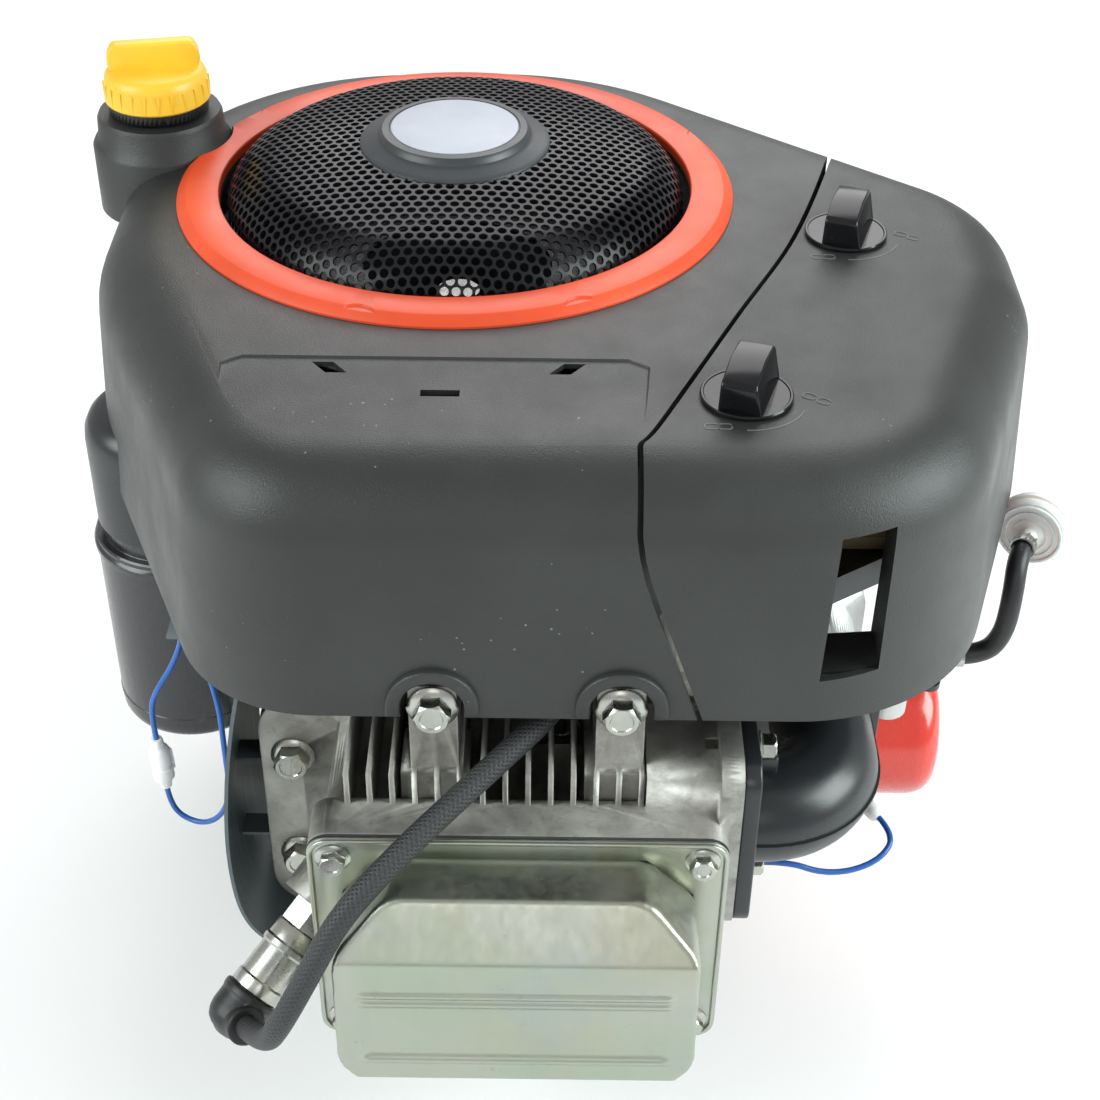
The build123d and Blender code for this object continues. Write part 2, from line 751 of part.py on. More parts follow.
# ---- flywheel group -----------------------------------------------------------
def make_flywheel():
    wheel = post(flywheel_radius, flywheel_low + 8, flywheel_high)
    wheel -= post(flywheel_radius - 14, flywheel_low, flywheel_high - 12)
    wheel += post(26, flywheel_low, flywheel_high)
    wheel += post(flywheel_radius + 1.5, ring_gear_z, ring_gear_z + 3)
    wheel -= post(flywheel_seat_diameter / 2, flywheel_low - 1, flywheel_high + 1)
    return wheel


ring_gear_bore = flywheel_radius + 0.05


def make_ring_gear():
    turn = math.radians(starter_angle)
    teeth = gear_face(ring_gear_teeth, ring_gear_module, 0.8, turn, 0.8)
    band = slab(teeth, ring_gear_z + 3.1, ring_gear_z + 3.1 + ring_gear_width)
    return band - post(ring_gear_bore, ring_gear_z, ring_gear_z + 20)


def make_starter_pinion():
    turn = math.radians(starter_angle) + math.pi + math.pi / pinion_teeth
    teeth = gear_face(pinion_teeth, ring_gear_module, 0.8, turn, 0.8)
    pinion = slab(teeth, pinion_low, pinion_low + 14)
    pinion -= post(6 + run_fit, pinion_low - 1, pinion_low + 15)
    return Pos(starter_x, starter_y, 0) * pinion


def make_cooling_fan():
    base = post(fan_radius, flywheel_high, flywheel_high + 3)
    hub = 46.0
    fan = base + post(hub + 3, flywheel_high, flywheel_high + fan_height)
    fan -= post(hub, flywheel_high - 1, flywheel_high + fan_height + 1)
    for number in range(fan_blades):
        blade = block(hub + 2, fan_radius - 2, -1.3, 1.3, flywheel_high + 2, flywheel_high + fan_height)
        curve = Pos(hub + 2, 0, 0) * Rot(0, 0, 22) * Pos(-hub - 2, 0, 0) * blade
        fan += Rot(0, 0, 360 / fan_blades * number) * curve
    return fan & post(fan_radius, flywheel_high - 1, flywheel_high + fan_height + 1)


screen_low = flywheel_high + fan_height + 3
cap_radius = 35.0
hole_pitch = 15.0
hole_size = 6.2


def screen_edges(inset):
    """Half outline of the dome from the axis to the skirt's foot: crown, shoulder, skirt."""
    radius = screen_radius - inset
    shoulder = housing_top - 4
    crown = screen_top - inset
    flat = radius - 22
    top = ThreePointArc((0, crown), (flat / 2, crown - 1.75), (flat, crown - 7))
    bend = ThreePointArc((flat, crown - 7), (radius - 6.5, shoulder + 12.5), (radius, shoulder))
    return [top, bend, Line((radius, shoulder), (radius, screen_low))]


def screen_holes():
    """Staggered rows of six-sided holes between the cap and the rim."""
    places = []
    rows = int(screen_radius / hole_pitch) + 1
    for row in range(-rows, rows + 1):
        shift = hole_pitch / 2 if row % 2 else 0
        for column in range(-rows - 1, rows + 2):
            x = column * hole_pitch + shift
            y = row * hole_pitch * math.sqrt(3) / 2
            if cap_radius + 4 < math.hypot(x, y) - hole_size and math.hypot(x,
                                                                            y) + hole_size < screen_radius - 10:
                places.append((x, y))
    return places


def make_screen():
    outer = screen_edges(0)
    inner = screen_edges(screen_sheet)
    foot = Line((screen_radius, screen_low), (screen_radius - screen_sheet, screen_low))
    axis = Line((0, screen_top), (0, screen_top - screen_sheet))
    shell = revolve(Plane.XZ * make_face(Wire([*outer, *inner, foot, axis])), Axis.Z)
    hole = Pos(0, 0, housing_top) * extrude(RegularPolygon(hole_size, 6), 40)
    slot = block(screen_radius - 6, screen_radius + 4, -5.5, 5.5, screen_low + 10, housing_top - 8)
    cuts = [Pos(x, y, 0) * hole for x, y in screen_holes()]
    cuts += [Rot(0, 0, 15 * number) * slot for number in range(24)]
    shell = shell.cut(*[cut.solid() for cut in cuts])
    rim = post(screen_radius, screen_low - 3, screen_low) - post(44, screen_low - 4, screen_low + 1)
    return shell + rim


def make_screen_cap():
    cap = post(cap_radius, screen_top, screen_top + 3)
    cap = fillet(cap.edges().group_by(Axis.Z)[-1], 2)
    return cap + post(26.5, screen_top + 2, screen_top + 5.5)


def make_flywheel_nut():
    low = flywheel_high + 6
    nut = extrude(Pos(0, 0, low) * RegularPolygon(17.5, 6), 15)
    nut += post(24, low, low + 2.5)
    return nut - post(10 + run_fit, low - 1, low + 20)


# ---- blower housing and air cleaner cover --------------------------------------
def housing_outline(inset):
    """Plan of the shroud: straight front, slanting sides and a round back."""
    corners = ((-86, -housing_front, 62), (201, -housing_front, 85), (255, -76, 60), (256, 6, 80),
               (65, 163, 148), (-165, 149, 140), (-162, -60, 150))
    return offset(rounded_polygon(corners), -inset)


def housing_body(inset):
    """Drafted, round-topped solid of the whole shroud, smaller by inset."""
    low = Pos(0, 0, housing_bottom) * housing_outline(inset)
    high = Pos(0, 0, housing_top - inset) * housing_outline(inset + housing_draft)
    body = loft([low, high], ruled=True)
    return fillet(body.edges().group_by(Axis.Z)[-1], housing_round - inset)


def seam_curve(shift):
    """Plan of the seam from the front edge to the back right, moved toward +X by shift."""
    return Spline((76 + shift, -206), (84 + shift, -190), (118 + shift, -114), (148 + shift, -42),
                  (172 + shift, 60),
                  tangents=((0.25, 1), (0.15, 1)))


def cover_region(shift):
    """Solid that holds everything right of the seam."""
    far = 320.0
    line = seam_curve(shift)
    rim = Polyline((172 + shift, 60), (172 + shift, 140), (far, 140), (far, -206), (76 + shift, -206))
    plan = make_face(Wire([line, *rim.edges()]))
    region = slab(plan, housing_bottom - 20, housing_top + 60)
    edge = Spline((76 + shift, housing_top + 60), (76 + shift, 262), (82 + shift, 235),
                  (109 + shift, housing_bottom - 20))
    frame = Polyline((109 + shift, housing_bottom - 20), (far, housing_bottom - 20),
                     (far, housing_top + 60), (76 + shift, housing_top + 60))
    front = make_face(Wire([edge, *frame.edges()]))
    front = Pos(0, -205.9, 0) * extrude(Plane.XZ * front, 60)
    return region + front


def front_notch(x, radius):
    """Arched notch at the bottom edge of the front wall."""
    arch = rod_y(radius, -housing_front - 8, -housing_front + 26, x, pad_z + 3)
    return arch + block(x - radius, x + radius, -housing_front - 8, -housing_front + 26,
                        housing_bottom - 2, pad_z + 3)


ring_gear_tip = ring_gear_module * (ring_gear_teeth / 2 + 0.8)


def make_blower_housing():
    shell = housing_body(0)
    seat = post(ring_outer / 2 + 2, housing_top - 14, housing_top)
    boss = post(neck_radius + 3, housing_bottom, housing_top - 6, neck_x, neck_y)
    collar = post(neck_radius, housing_top - 30, neck_top, neck_x, neck_y)
    shell += seat + boss + collar
    for x, y in rear_post_places():
        shell += slab(hull_of([(x, y, 9), (x * 0.87, y * 0.87, 12)]), housing_bottom, housing_bottom + 4)
    for x in pad_x:
        rim = front_notch(x, 14) & block(x - 20, x + 20, -housing_front - 1.6, -housing_front + 6,
                                         housing_bottom, housing_top)
        shell += rim
    inner = housing_body(housing_wall)
    inner += slab(housing_outline(housing_wall), housing_bottom - 1, housing_bottom + 1)
    keep = post(neck_radius + 3, housing_bottom - 2, neck_top, neck_x, neck_y) - post(neck_radius,
                                                                                      housing_bottom - 2, neck_top, neck_x, neck_y)
    swept = post(ring_gear_tip + 1.2, housing_bottom - 2, screen_low)
    shell -= inner - (keep - swept)
    for x, y in rear_post_places():
        shell -= post(4.3, housing_bottom - 1, housing_bottom + 5, x, y)
    shell -= post(neck_radius, housing_bottom - 2, housing_top - 8, neck_x, neck_y)
    shell -= post(screen_opening / 2, housing_top - 30, housing_top + 1)
    shell -= post(filler_tube_radius + 0.6, housing_bottom - 2, neck_top + 1, neck_x, neck_y)
    shell -= cover_region(0)
    wall_band = cover_region(-housing_wall) - cover_region(0)
    partition = wall_band & housing_body(1) & slab(Pos(60, -60) * Rectangle(420, 290), housing_bottom,
                                                   housing_top)
    shell += partition
    for x in pad_x:
        shell -= front_notch(x, 11.5)
    shell -= label_recess()
    shell -= post(starter_radius + 1.5, housing_bottom - 1, drive_cap_high + 2, starter_x, starter_y)
    return shell


def label_recess():
    """Shallow step on the top front, with three small openings."""
    panel = rounded_polygon(((-86, -146, 8), (84, -146, 8), (72, -192, 12), (-76, -192, 12)))
    recess = slab(panel, housing_top - 0.8, housing_top + 1)
    for x, y, width, depth in ((-42, -156, 8, 7), (2, -174, 15, 5), (50, -156, 8, 7)):
        recess += block(x - width / 2, x + width / 2, y - depth / 2, y + depth / 2, housing_top - 10,
                        housing_top + 1)
    return recess


def make_trim_ring():
    profile = Polyline((screen_opening / 2, housing_top), (ring_outer / 2, housing_top),
                       (ring_outer / 2, housing_top + 1.5),
                       (ring_outer / 2 - 4, housing_top + ring_height), (screen_opening / 2,
                                                                         housing_top + ring_height), close=True)
    ring = revolve(Plane.XZ * make_face(profile), Axis.Z)
    return ring - post(neck_radius + 3.5, housing_top - 1, neck_top, neck_x, neck_y)


knob_places = ((171.7, -39.6), (118.5, -172.0))
knob_radius = 18.0
knob_base = 3.0
knob_grip = 14.0
window_left = 150.0
window_right = 171.0
window_low = 199.0
window_high = 263.0


def make_air_cleaner_cover():
    shell = housing_body(0) & cover_region(seam_gap)
    hollow = housing_body(housing_wall)
    hollow += slab(housing_outline(housing_wall), housing_bottom - 1, housing_bottom + 1)
    shell -= hollow
    duct = block(window_left - 2, window_right + 2, -housing_front + 4, -206, window_low - 2, window_high + 2)
    shell += duct & housing_body(1)
    shell -= block(window_left, window_right, -housing_front - 10, -208, window_low, window_high)
    for x, y in knob_places:
        shell += post(8, housing_top - 10, housing_top - 1, x, y)
        shell -= post(4 + run_fit, housing_top - 20, housing_top + 1, x, y)
    return shell


def make_knob(x, y):
    knob = post(knob_radius, housing_top + clearance, housing_top + knob_base)
    knob = fillet(knob.edges().group_by(Axis.Z)[-1], 1)
    side = Polyline((-16, knob_base - 1), (-15, knob_base + 13), (-2, knob_base + 16), (13, knob_base + 14.5),
                    (16, knob_base - 1), close=True)
    grip = Pos(-knob_grip / 2, 0, housing_top) * extrude(Plane.YZ * make_face(side), knob_grip)
    grip = chamfer(grip.edges().group_by(Axis.Z)[-1], 0.8)
    knob += grip
    knob += post(4, tray_top + 0.5, housing_top + 2)
    return Pos(x, y, 0) * Rot(0, 0, -18) * knob


# ---- air cleaner under the cover ------------------------------------------------
tray_low = 196.0
tray_top = 200.0
filter_x = 176.0
filter_y = -108.0


def make_air_cleaner_base():
    plan = rounded_polygon(((106, -196, 10), (140, -200, 14), (214, -150, 24), (232, -80, 24),
                            (186, 6, 10), (164, 2, 8), (134, -104, 20)))
    tray = slab(plan, tray_low, tray_top) + slab(plan, tray_low, tray_top + 9) - slab(offset(plan, -2.5),
                                                                                      tray_top, tray_top + 10)
    horn_y = carburetor_front + carburetor_length
    tray += post(23, throat_z - 23, tray_low + 1, throat_x, horn_y + 24)
    tray += rod_y(21, horn_y, horn_y + 24, throat_x, throat_z)
    tray -= post(19, throat_z - 19, tray_top + 1, throat_x, horn_y + 24)
    tray -= rod_y(16, horn_y - 1, horn_y + 24, throat_x, throat_z)
    for x, y in knob_places:
        tray += post(7, tray_top - 2, tray_top + 14, x, y)
        tray -= post(4 + run_fit, tray_top - 1, tray_top + 15, x, y)
    return tray


def make_air_filter():
    frame = rounded_block(filter_x - 30, filter_x + 30, filter_y - 48, filter_y + 48, tray_top,
                          tray_top + 6, 14, Axis.Z)
    pack = block(filter_x - 25, filter_x + 25, filter_y - 42, filter_y + 42, tray_top + 5, tray_top + 44)
    for pleat in range(10):
        y = filter_y - 42 + 8.4 * (pleat + 0.5)
        pack -= block(filter_x - 21, filter_x + 21, y - 2, y + 2, tray_top + 12, tray_top + 45)
    return frame + pack


# ---- starter ------------------------------------------------------------------
def at_starter(shape):
    return Pos(starter_x, starter_y, 0) * shape


def make_starter_motor():
    can = post(starter_radius, starter_low, starter_high)
    can = fillet(can.edges().group_by(Axis.Z)[0], 5)
    can += post(starter_radius + 1.2, starter_high - 7, starter_high - 4)
    can += post(starter_radius - 4, starter_high - 1, starter_high + 8)
    can += post(9, starter_low - 8, starter_low + 1)
    can += post(6, starter_high, drive_cap_high - 6)
    foot = Rot(0, 0, starter_angle) * block(starter_lug_reach - 18, starter_lug_reach + 18, -25, 25,
                                            lug_high, lug_high + 7)
    for x, y in starter_bolt_places():
        foot -= post(4.05, lug_high - 1, lug_high + 8, x, y)
    return at_starter(can) + foot


def make_starter_bolts():
    bolt = hex_bolt(11.1, 6, 4, 24)
    return [facing_down(x, y, lug_low) * bolt for x, y in starter_bolt_places()]


def make_starter_drive_cap():
    low = starter_high + 8
    cap = post(starter_radius - 2, low, drive_cap_high)
    cap = fillet(cap.edges().group_by(Axis.Z)[-1], 10)
    hollow = post(starter_radius - 5, low - 1, drive_cap_high - 3)
    hollow = fillet(hollow.edges().group_by(Axis.Z)[-1], 8)
    cap -= hollow
    cap = at_starter(cap)
    toward = Rot(0, 0, starter_angle) * block(60, starter_distance - 8, -40, 40, low + 24, drive_cap_high + 1)
    cap -= toward
    return cap - Rot(0, 0, starter_angle) * block(60, starter_distance - 22, -26, 26, low - 1, low + 25)


# ---- ignition and charging -----------------------------------------------------
coil_y = -150.0
coil_right = 18.0


def make_ignition_coil():
    body = rounded_block(-20, coil_right, coil_y - 22, coil_y + 8, 163, 192, 4, Axis.Z)
    for side in (-14, 14):
        body += block(side - 5, side + 5, coil_y + 5, -flywheel_radius - 1, 172, 181)
        body += block(side - 5, side + 5, -130, -122, deck_top, 173)
    return body


def make_spark_plug():
    body = plug_post(6.9, -22, 1)
    hexagon = extrude(plug_place(0.5) * RegularPolygon(10.8, 6), 11)
    body += hexagon + plug_post(5.4, 11, 40) + plug_post(3, 40, 46)
    return body


def make_plug_shield():
    tube = plug_post(10.6, 12, 44) - plug_post(9.2, 11, 45)
    rib = plug_post(11.4, 16, 19) - plug_post(9.2, 15, 20)
    return tube + rib


boot_start = 44.1
boot_end = 64.0
boot_middle = plug_seat + plug_direction * 56
boot_nose = Vector(0.5, -0.75, 0.43).normalized()
lead_end = boot_middle + boot_nose * 14


def make_plug_boot():
    body = plug_post(12.5, boot_start, boot_end)
    body = fillet(body.edges().sort_by(Axis(tuple(plug_seat), tuple(plug_direction)))[-1], 6)
    body -= plug_post(5.6, boot_start - 1, boot_start + 6)
    return body + between(boot_middle, lead_end, 7.4)


lead_route = ((coil_right, coil_y - 10, 178), (36, coil_y - 10, 178), (50, -169, 177), (58, -184, 175),
              (56, -204, 171), (46, -221, 166), (30, -237, 160), (10, -254, 150), (-12, -272, 138),
              (-34, -290, 122), (-47, -298, 97), (-59, -304, 74), lead_end + boot_nose * 20, lead_end)


def make_plug_lead():
    return cord_tube("plug_lead", lead_route, lead_diameter)


# ---- intake, carburetor and fuel ------------------------------------------------
elbow_z = (port_z + throat_z) / 2
elbow_turn = 30.0


def elbow(radius, x_start, y_end):
    """Quarter bend from the head's port toward the carburetor."""
    x_bend = throat_x - elbow_turn
    y_bend = port_y + elbow_turn
    section = Plane(origin=(x_bend, port_y, elbow_z), x_dir=(0, 1, 0), z_dir=(1, 0, 0)) * Circle(radius)
    turned = revolve(section, Axis((x_bend, y_bend, elbow_z), (0, 0, 1)), 90)
    return turned + rod_x(radius, x_start, x_bend, port_y, elbow_z) + rod_y(radius, y_bend, y_end,
                                                                            throat_x, elbow_z)


def make_intake_manifold():
    tube = elbow(manifold_radius, port_x + 4, carburetor_front - 3)
    tube += rounded_block(port_x, port_x + 7, port_y - 26, port_y + 23, port_z - 48, port_z + 40, 11, Axis.X)
    tube += rounded_block(throat_x - 27, throat_x + 27, carburetor_front - 6, carburetor_front,
                          throat_z - 26, throat_z + 26, 10, Axis.Y)
    tube -= elbow(manifold_radius - 4, port_x - 1, carburetor_front + 1)
    for level in manifold_bolt_levels:
        tube -= rod_x(3.3, port_x - 1, port_x + 8, port_y, level)
        tube -= rod_x(9, port_x + 7, port_x + 30, port_y, level)
    return tube


def make_manifold_bolts():
    bolt = hex_bolt(9.5, 6, 3, 16, 6.8, 1.4)
    return [facing_right(port_x + 7, port_y, level) * bolt for level in manifold_bolt_levels]


carburetor_back = carburetor_front + carburetor_length


def make_carburetor():
    front = carburetor_front
    back = carburetor_back
    body = rod_y(23, front + 5, back - 5, throat_x, throat_z)
    body += rounded_block(throat_x - 27, throat_x + 27, front, front + 7, throat_z - 26, throat_z + 26,
                          10, Axis.Y)
    body += rounded_block(throat_x - 27, throat_x + 27, back - 7, back, throat_z - 26, throat_z + 26, 10,
                          Axis.Y)
    body += post(bowl_radius - 1, throat_z - 26, throat_z, throat_x, front + bowl_offset)
    body += post(9, throat_z - 8, throttle_level - 0.4, throttle_x, throttle_y)
    body += block(throat_x + 8, throttle_x, throttle_y - 8, throttle_y + 8, throat_z - 6, throat_z + 10)
    body += post(7, throat_z + 10, throat_z + 28, choke_x, choke_y)
    body += rod_x(5, throat_x + 15, inlet_x, inlet_y, throat_z)
    body += rod_x(7, throat_x + 12, throat_x + 32, inlet_y, throat_z)
    body -= rod_y(16, front - 1, back + 1, throat_x, throat_z)
    body -= post(3 + run_fit, throttle_level - 10, throttle_level + 2, throttle_x, throttle_y)
    body -= post(3 + run_fit, choke_level - 10, choke_level + 2, choke_x, choke_y)
    return body


throttle_x = 196.0
throttle_y = -146.0
throttle_level = throat_z + 14.4
choke_x = 163.0
choke_y = -112.0
choke_level = throat_z + 28.4
inlet_x = 228.0
inlet_y = -119.0


def make_carburetor_bowl():
    high = throat_z - 26
    bowl = post(bowl_radius, high - bowl_height, high, throat_x, carburetor_front + bowl_offset)
    bowl = fillet(bowl.edges().group_by(Axis.Z)[0], 6)
    bowl += post(bowl_radius + 2, high - 3, high, throat_x, carburetor_front + bowl_offset)
    return bowl


def lever(x, y, reach, turn, level):
    """Flat lever on a pin that turns in the carburetor body."""
    arm = hull_of([(0, 0, 7), (reach, 0, 5)])
    body = slab(arm, level, level + 3) - post(1.6, level - 1, level + 4, reach, 0)
    body += post(3, level - 9, level + 6)
    return Pos(x, y, 0) * Rot(0, 0, turn) * body


def make_throttle_lever():
    return lever(throttle_x, throttle_y, 18, -35, throttle_level)


def make_choke_lever():
    return lever(choke_x, choke_y, 18, 200, choke_level)


hose_route = ((inlet_x, inlet_y, throat_z), (inlet_x + 15, inlet_y, throat_z),
              (inlet_x + 23, inlet_y, throat_z + 12), (inlet_x + 24, inlet_y + 1, throat_z + 34),
              (inlet_x + 25.7, inlet_y + 10.3, throat_z + 49.9), (inlet_x + 31, inlet_y + 21, throat_z + 49))
filter_out = Vector(*hose_route[-1])
filter_axis = (filter_out - Vector(*hose_route[-2])).normalized()


def make_fuel_hose():
    return cord_tube("fuel_hose", hose_route, hose_diameter)


def filter_post(radius, start, end):
    return extrude(Plane(origin=filter_out + filter_axis * start, z_dir=filter_axis) * Circle(radius),
                   end - start)


def make_fuel_filter():
    body = filter_post(4, 0, 6) + filter_post(16.5, 6, 22) + filter_post(17.8, 12, 15) + filter_post(4,
                                                                                                     21, 34)
    return body


def make_hose_clamps():
    first = rod_x(6.4, inlet_x + 1, inlet_x + 6, inlet_y, throat_z) - rod_x(hose_diameter / 2 + 0.1,
                                                                            inlet_x - 1, inlet_x + 14, inlet_y, throat_z)
    second = filter_post(6.4, -6.2, -1.4) - filter_post(hose_diameter / 2 + 0.1, -8, 0)
    return [first, second]


# ---- the rest of the outside ----------------------------------------------------
def make_oil_filter():
    can = rod_x(oil_filter_radius, oil_filter_x, oil_filter_x + oil_filter_length, oil_filter_y, oil_filter_z)
    can = fillet(can.edges().group_by(Axis.X)[-1], 7)
    can = fillet(can.edges().group_by(Axis.X)[0], 3)
    can -= rod_x(30, oil_filter_x - 1, oil_filter_x + 1.5, oil_filter_y, oil_filter_z)
    return can + rod_x(9.5, oil_filter_x - 2, oil_filter_x + 3, oil_filter_y, oil_filter_z)


def make_oil_fill_tube():
    low = filler_seat - 12
    tube = post(filler_tube_radius, low, neck_top + 1, neck_x, neck_y)
    tube += post(filler_tube_radius + 3, filler_seat, filler_seat + 5, neck_x, neck_y)
    return tube - post(filler_tube_radius - 3, low - 1, neck_top + 2, neck_x, neck_y)


dipstick_seal = 12.6


def make_dipstick():
    body = post(dipstick_seal, neck_top - 18, neck_top + 4, neck_x, neck_y)
    body += post(23, neck_top + 1.4, neck_top + 6, neck_x, neck_y)
    body += block(neck_x - 3.5, neck_x + 3.5, neck_y - 0.8, neck_y + 0.8, 60, neck_top - 17)
    return body - post(4 + run_fit, neck_top + 1, neck_top + 7, neck_x, neck_y)


def make_dipstick_cap():
    low = neck_top + 6.3
    cap = post(24.5, low, low + 15)
    cap = fillet(cap.edges().group_by(Axis.Z)[-1], 4)
    grip = block(-22, 22, -3.5, 3.5, low + 14, low + 27)
    grip = fillet(grip.edges().filter_by(Axis.Y).group_by(Axis.Z)[-1], 8)
    cap += grip + post(4, neck_top + 2, low + 1)
    return Pos(neck_x, neck_y, 0) * Rot(0, 0, 12) * cap


wire_clip_z = 160.0


def make_cylinder_shield():
    """Sheet-metal baffle that wraps the left side of the cylinder and the head."""
    line = Spline((-78, 176), (-86, 140), (-93, 90), (-94, 45), (-86, 14), (-66, 2))
    sheet = trace(line, 1.6)
    guard = Pos(0, -108, 0) * extrude(Plane.XZ * sheet, 96)
    for level in (50, 96):
        guard += block(-93, head_left, -178, -166, level, level + 1.6)
    return guard + block(-116, -82, -172, -146, wire_clip_z, wire_clip_z + 1.6)


def make_housing_bolts():
    bolt = hex_bolt(11.1, 6.5, 4, 26, 9.1, 1.8)
    seat = -rocker_flange + box_rim + 3
    fronts = [facing_front(x, seat, pad_z) * bolt for x in pad_x]
    return fronts + [Pos(x, y, housing_bottom + 4) * bolt for x, y in rear_post_places()]


connector_top = Vector(-131, -158, 90)
connector_low = Vector(-130, -157, 60)
connector_run = (connector_low - connector_top).normalized()
left_wire_route = ((-113, -155, wire_clip_z), (-113, -155, 148), (-119, -156, 132), (-128, -158, 118),
                   connector_top - connector_run * 17, connector_top)
left_loop_route = (connector_low, connector_low + connector_run * 12, (-124, -158, 40), (-113, -162, 40),
                   (-103, -167, 52), (-98, -170, 70), (-98, -171, 95), (-98, -170, 122), (-103, -166, 142),
                   (-103, -166, wire_clip_z))
sleeve_start = Vector(189, -196, 84)
sleeve_end = Vector(180, -178, 84)
sleeve_run = (sleeve_end - sleeve_start).normalized()
bowl_face = carburetor_front + bowl_offset - bowl_radius
right_wire_route = ((port_x + 14.4, port_y, manifold_bolt_levels[0]), (148, port_y, manifold_bolt_levels[0]),
                    (161, port_y - 1, 78), (175, port_y + 1, 77), (188, port_y + 6, 80),
                    sleeve_start - sleeve_run * 12, sleeve_start)
right_end_route = (sleeve_end, sleeve_end + sleeve_run * 10, (throat_x, bowl_face - 11, 79),
                   (throat_x, bowl_face, 79))


def make_left_wire():
    return [cord_tube("left_wire_upper", left_wire_route, wire_diameter),
            cord_tube("left_wire_lower", left_loop_route, wire_diameter)]


def make_left_connector():
    return between(left_wire_route[-1], left_loop_route[0], 5)


def make_right_wire():
    return [cord_tube("right_wire_outer", right_wire_route, wire_diameter),
            cord_tube("right_wire_inner", right_end_route, wire_diameter)]


def make_right_connector():
    return between(right_wire_route[-1], right_end_route[0], 4)


def write_parts():
    low, high = valve_levels
    parts = {
        "crankshaft": make_crankshaft, "camshaft": make_camshaft, "piston": make_piston, "wrist_pin": make_wrist_pin,
        "sump": make_sump, "sump_bolts": make_sump_bolts, "cylinder_block": make_cylinder_block,
        "cylinder_head": make_cylinder_head, "head_bolts": make_head_bolts, "rocker_cover": make_rocker_cover,
        "rocker_cover_gasket": make_rocker_cover_gasket, "rocker_cover_screws": make_rocker_cover_screws,
        "intake_valve": lambda: make_valve(high, intake_head_diameter),
        "exhaust_valve": lambda: make_valve(low, exhaust_head_diameter),
        "intake_rocker": lambda: make_rocker(high), "exhaust_rocker": lambda: make_rocker(low),
        "intake_push_rod": lambda: make_push_rod(high), "exhaust_push_rod": lambda: make_push_rod(low),
        "valve_springs": make_valve_springs, "flywheel": make_flywheel, "ring_gear": make_ring_gear,
        "cooling_fan": make_cooling_fan, "screen": make_screen, "screen_cap": make_screen_cap,
        "flywheel_nut": make_flywheel_nut, "blower_housing": make_blower_housing, "trim_ring": make_trim_ring,
        "air_cleaner_cover": make_air_cleaner_cover,
        "rear_cover_knob": lambda: make_knob(*knob_places[0]), "front_cover_knob": lambda: make_knob(*knob_places[1]),
        "air_cleaner_base": make_air_cleaner_base, "air_filter": make_air_filter, "starter_motor": make_starter_motor,
        "starter_bolts": make_starter_bolts, "starter_drive_cap": make_starter_drive_cap,
        "starter_pinion": make_starter_pinion, "ignition_coil": make_ignition_coil,
        "spark_plug": make_spark_plug, "plug_shield": make_plug_shield, "plug_boot": make_plug_boot,
        "plug_lead": make_plug_lead, "intake_manifold": make_intake_manifold, "manifold_bolts": make_manifold_bolts,
        "carburetor": make_carburetor, "carburetor_bowl": make_carburetor_bowl, "throttle_lever": make_throttle_lever,
        "choke_lever": make_choke_lever, "fuel_hose": make_fuel_hose, "fuel_filter": make_fuel_filter,
        "hose_clamps": make_hose_clamps, "oil_filter": make_oil_filter, "oil_fill_tube": make_oil_fill_tube,
        "dipstick": make_dipstick, "dipstick_cap": make_dipstick_cap, "cylinder_shield": make_cylinder_shield,
        "housing_bolts": make_housing_bolts, "left_wire": make_left_wire, "left_wire_connector": make_left_connector,
        "right_wire": make_right_wire, "right_wire_connector": make_right_connector,
    }
    for name, make in parts.items():
        shape = make()
        if isinstance(shape, list):
            shape = Compound(children=shape)
        export_step(shape, f"parts/{name}.step")


write_parts()
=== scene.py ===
"""Looks of the small gasoline engine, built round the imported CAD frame.

Lengths in the builders below are millimetres in the row frame; MM turns them into metres.
"""
import json
import math
import random

import bmesh
import bpy
from mathutils import Matrix, Vector


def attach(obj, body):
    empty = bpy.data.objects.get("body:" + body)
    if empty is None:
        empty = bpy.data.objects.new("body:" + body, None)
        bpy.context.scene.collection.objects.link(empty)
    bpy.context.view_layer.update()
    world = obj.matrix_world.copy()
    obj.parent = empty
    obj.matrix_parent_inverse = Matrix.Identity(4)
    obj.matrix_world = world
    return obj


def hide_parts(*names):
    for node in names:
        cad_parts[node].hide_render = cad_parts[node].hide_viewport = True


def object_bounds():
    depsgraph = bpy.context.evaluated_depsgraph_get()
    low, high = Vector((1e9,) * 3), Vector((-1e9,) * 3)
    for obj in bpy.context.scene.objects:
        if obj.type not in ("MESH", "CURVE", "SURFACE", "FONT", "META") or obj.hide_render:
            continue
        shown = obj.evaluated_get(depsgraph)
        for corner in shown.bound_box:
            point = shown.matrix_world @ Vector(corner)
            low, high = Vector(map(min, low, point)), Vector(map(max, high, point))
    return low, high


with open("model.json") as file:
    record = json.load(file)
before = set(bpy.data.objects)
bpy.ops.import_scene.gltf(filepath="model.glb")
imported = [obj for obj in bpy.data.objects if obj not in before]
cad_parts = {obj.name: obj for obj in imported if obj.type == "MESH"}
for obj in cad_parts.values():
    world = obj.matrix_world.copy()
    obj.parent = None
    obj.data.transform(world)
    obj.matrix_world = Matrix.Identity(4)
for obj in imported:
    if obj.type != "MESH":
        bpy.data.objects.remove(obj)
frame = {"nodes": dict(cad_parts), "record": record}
CAD_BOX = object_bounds()
NODES = frame["nodes"]
MM = 0.001
TAU = 2 * math.pi


def new_object(name, data):
    """Object with its data, linked into the scene."""
    obj = bpy.data.objects.new(name, data)
    bpy.context.scene.collection.objects.link(obj)
    return obj


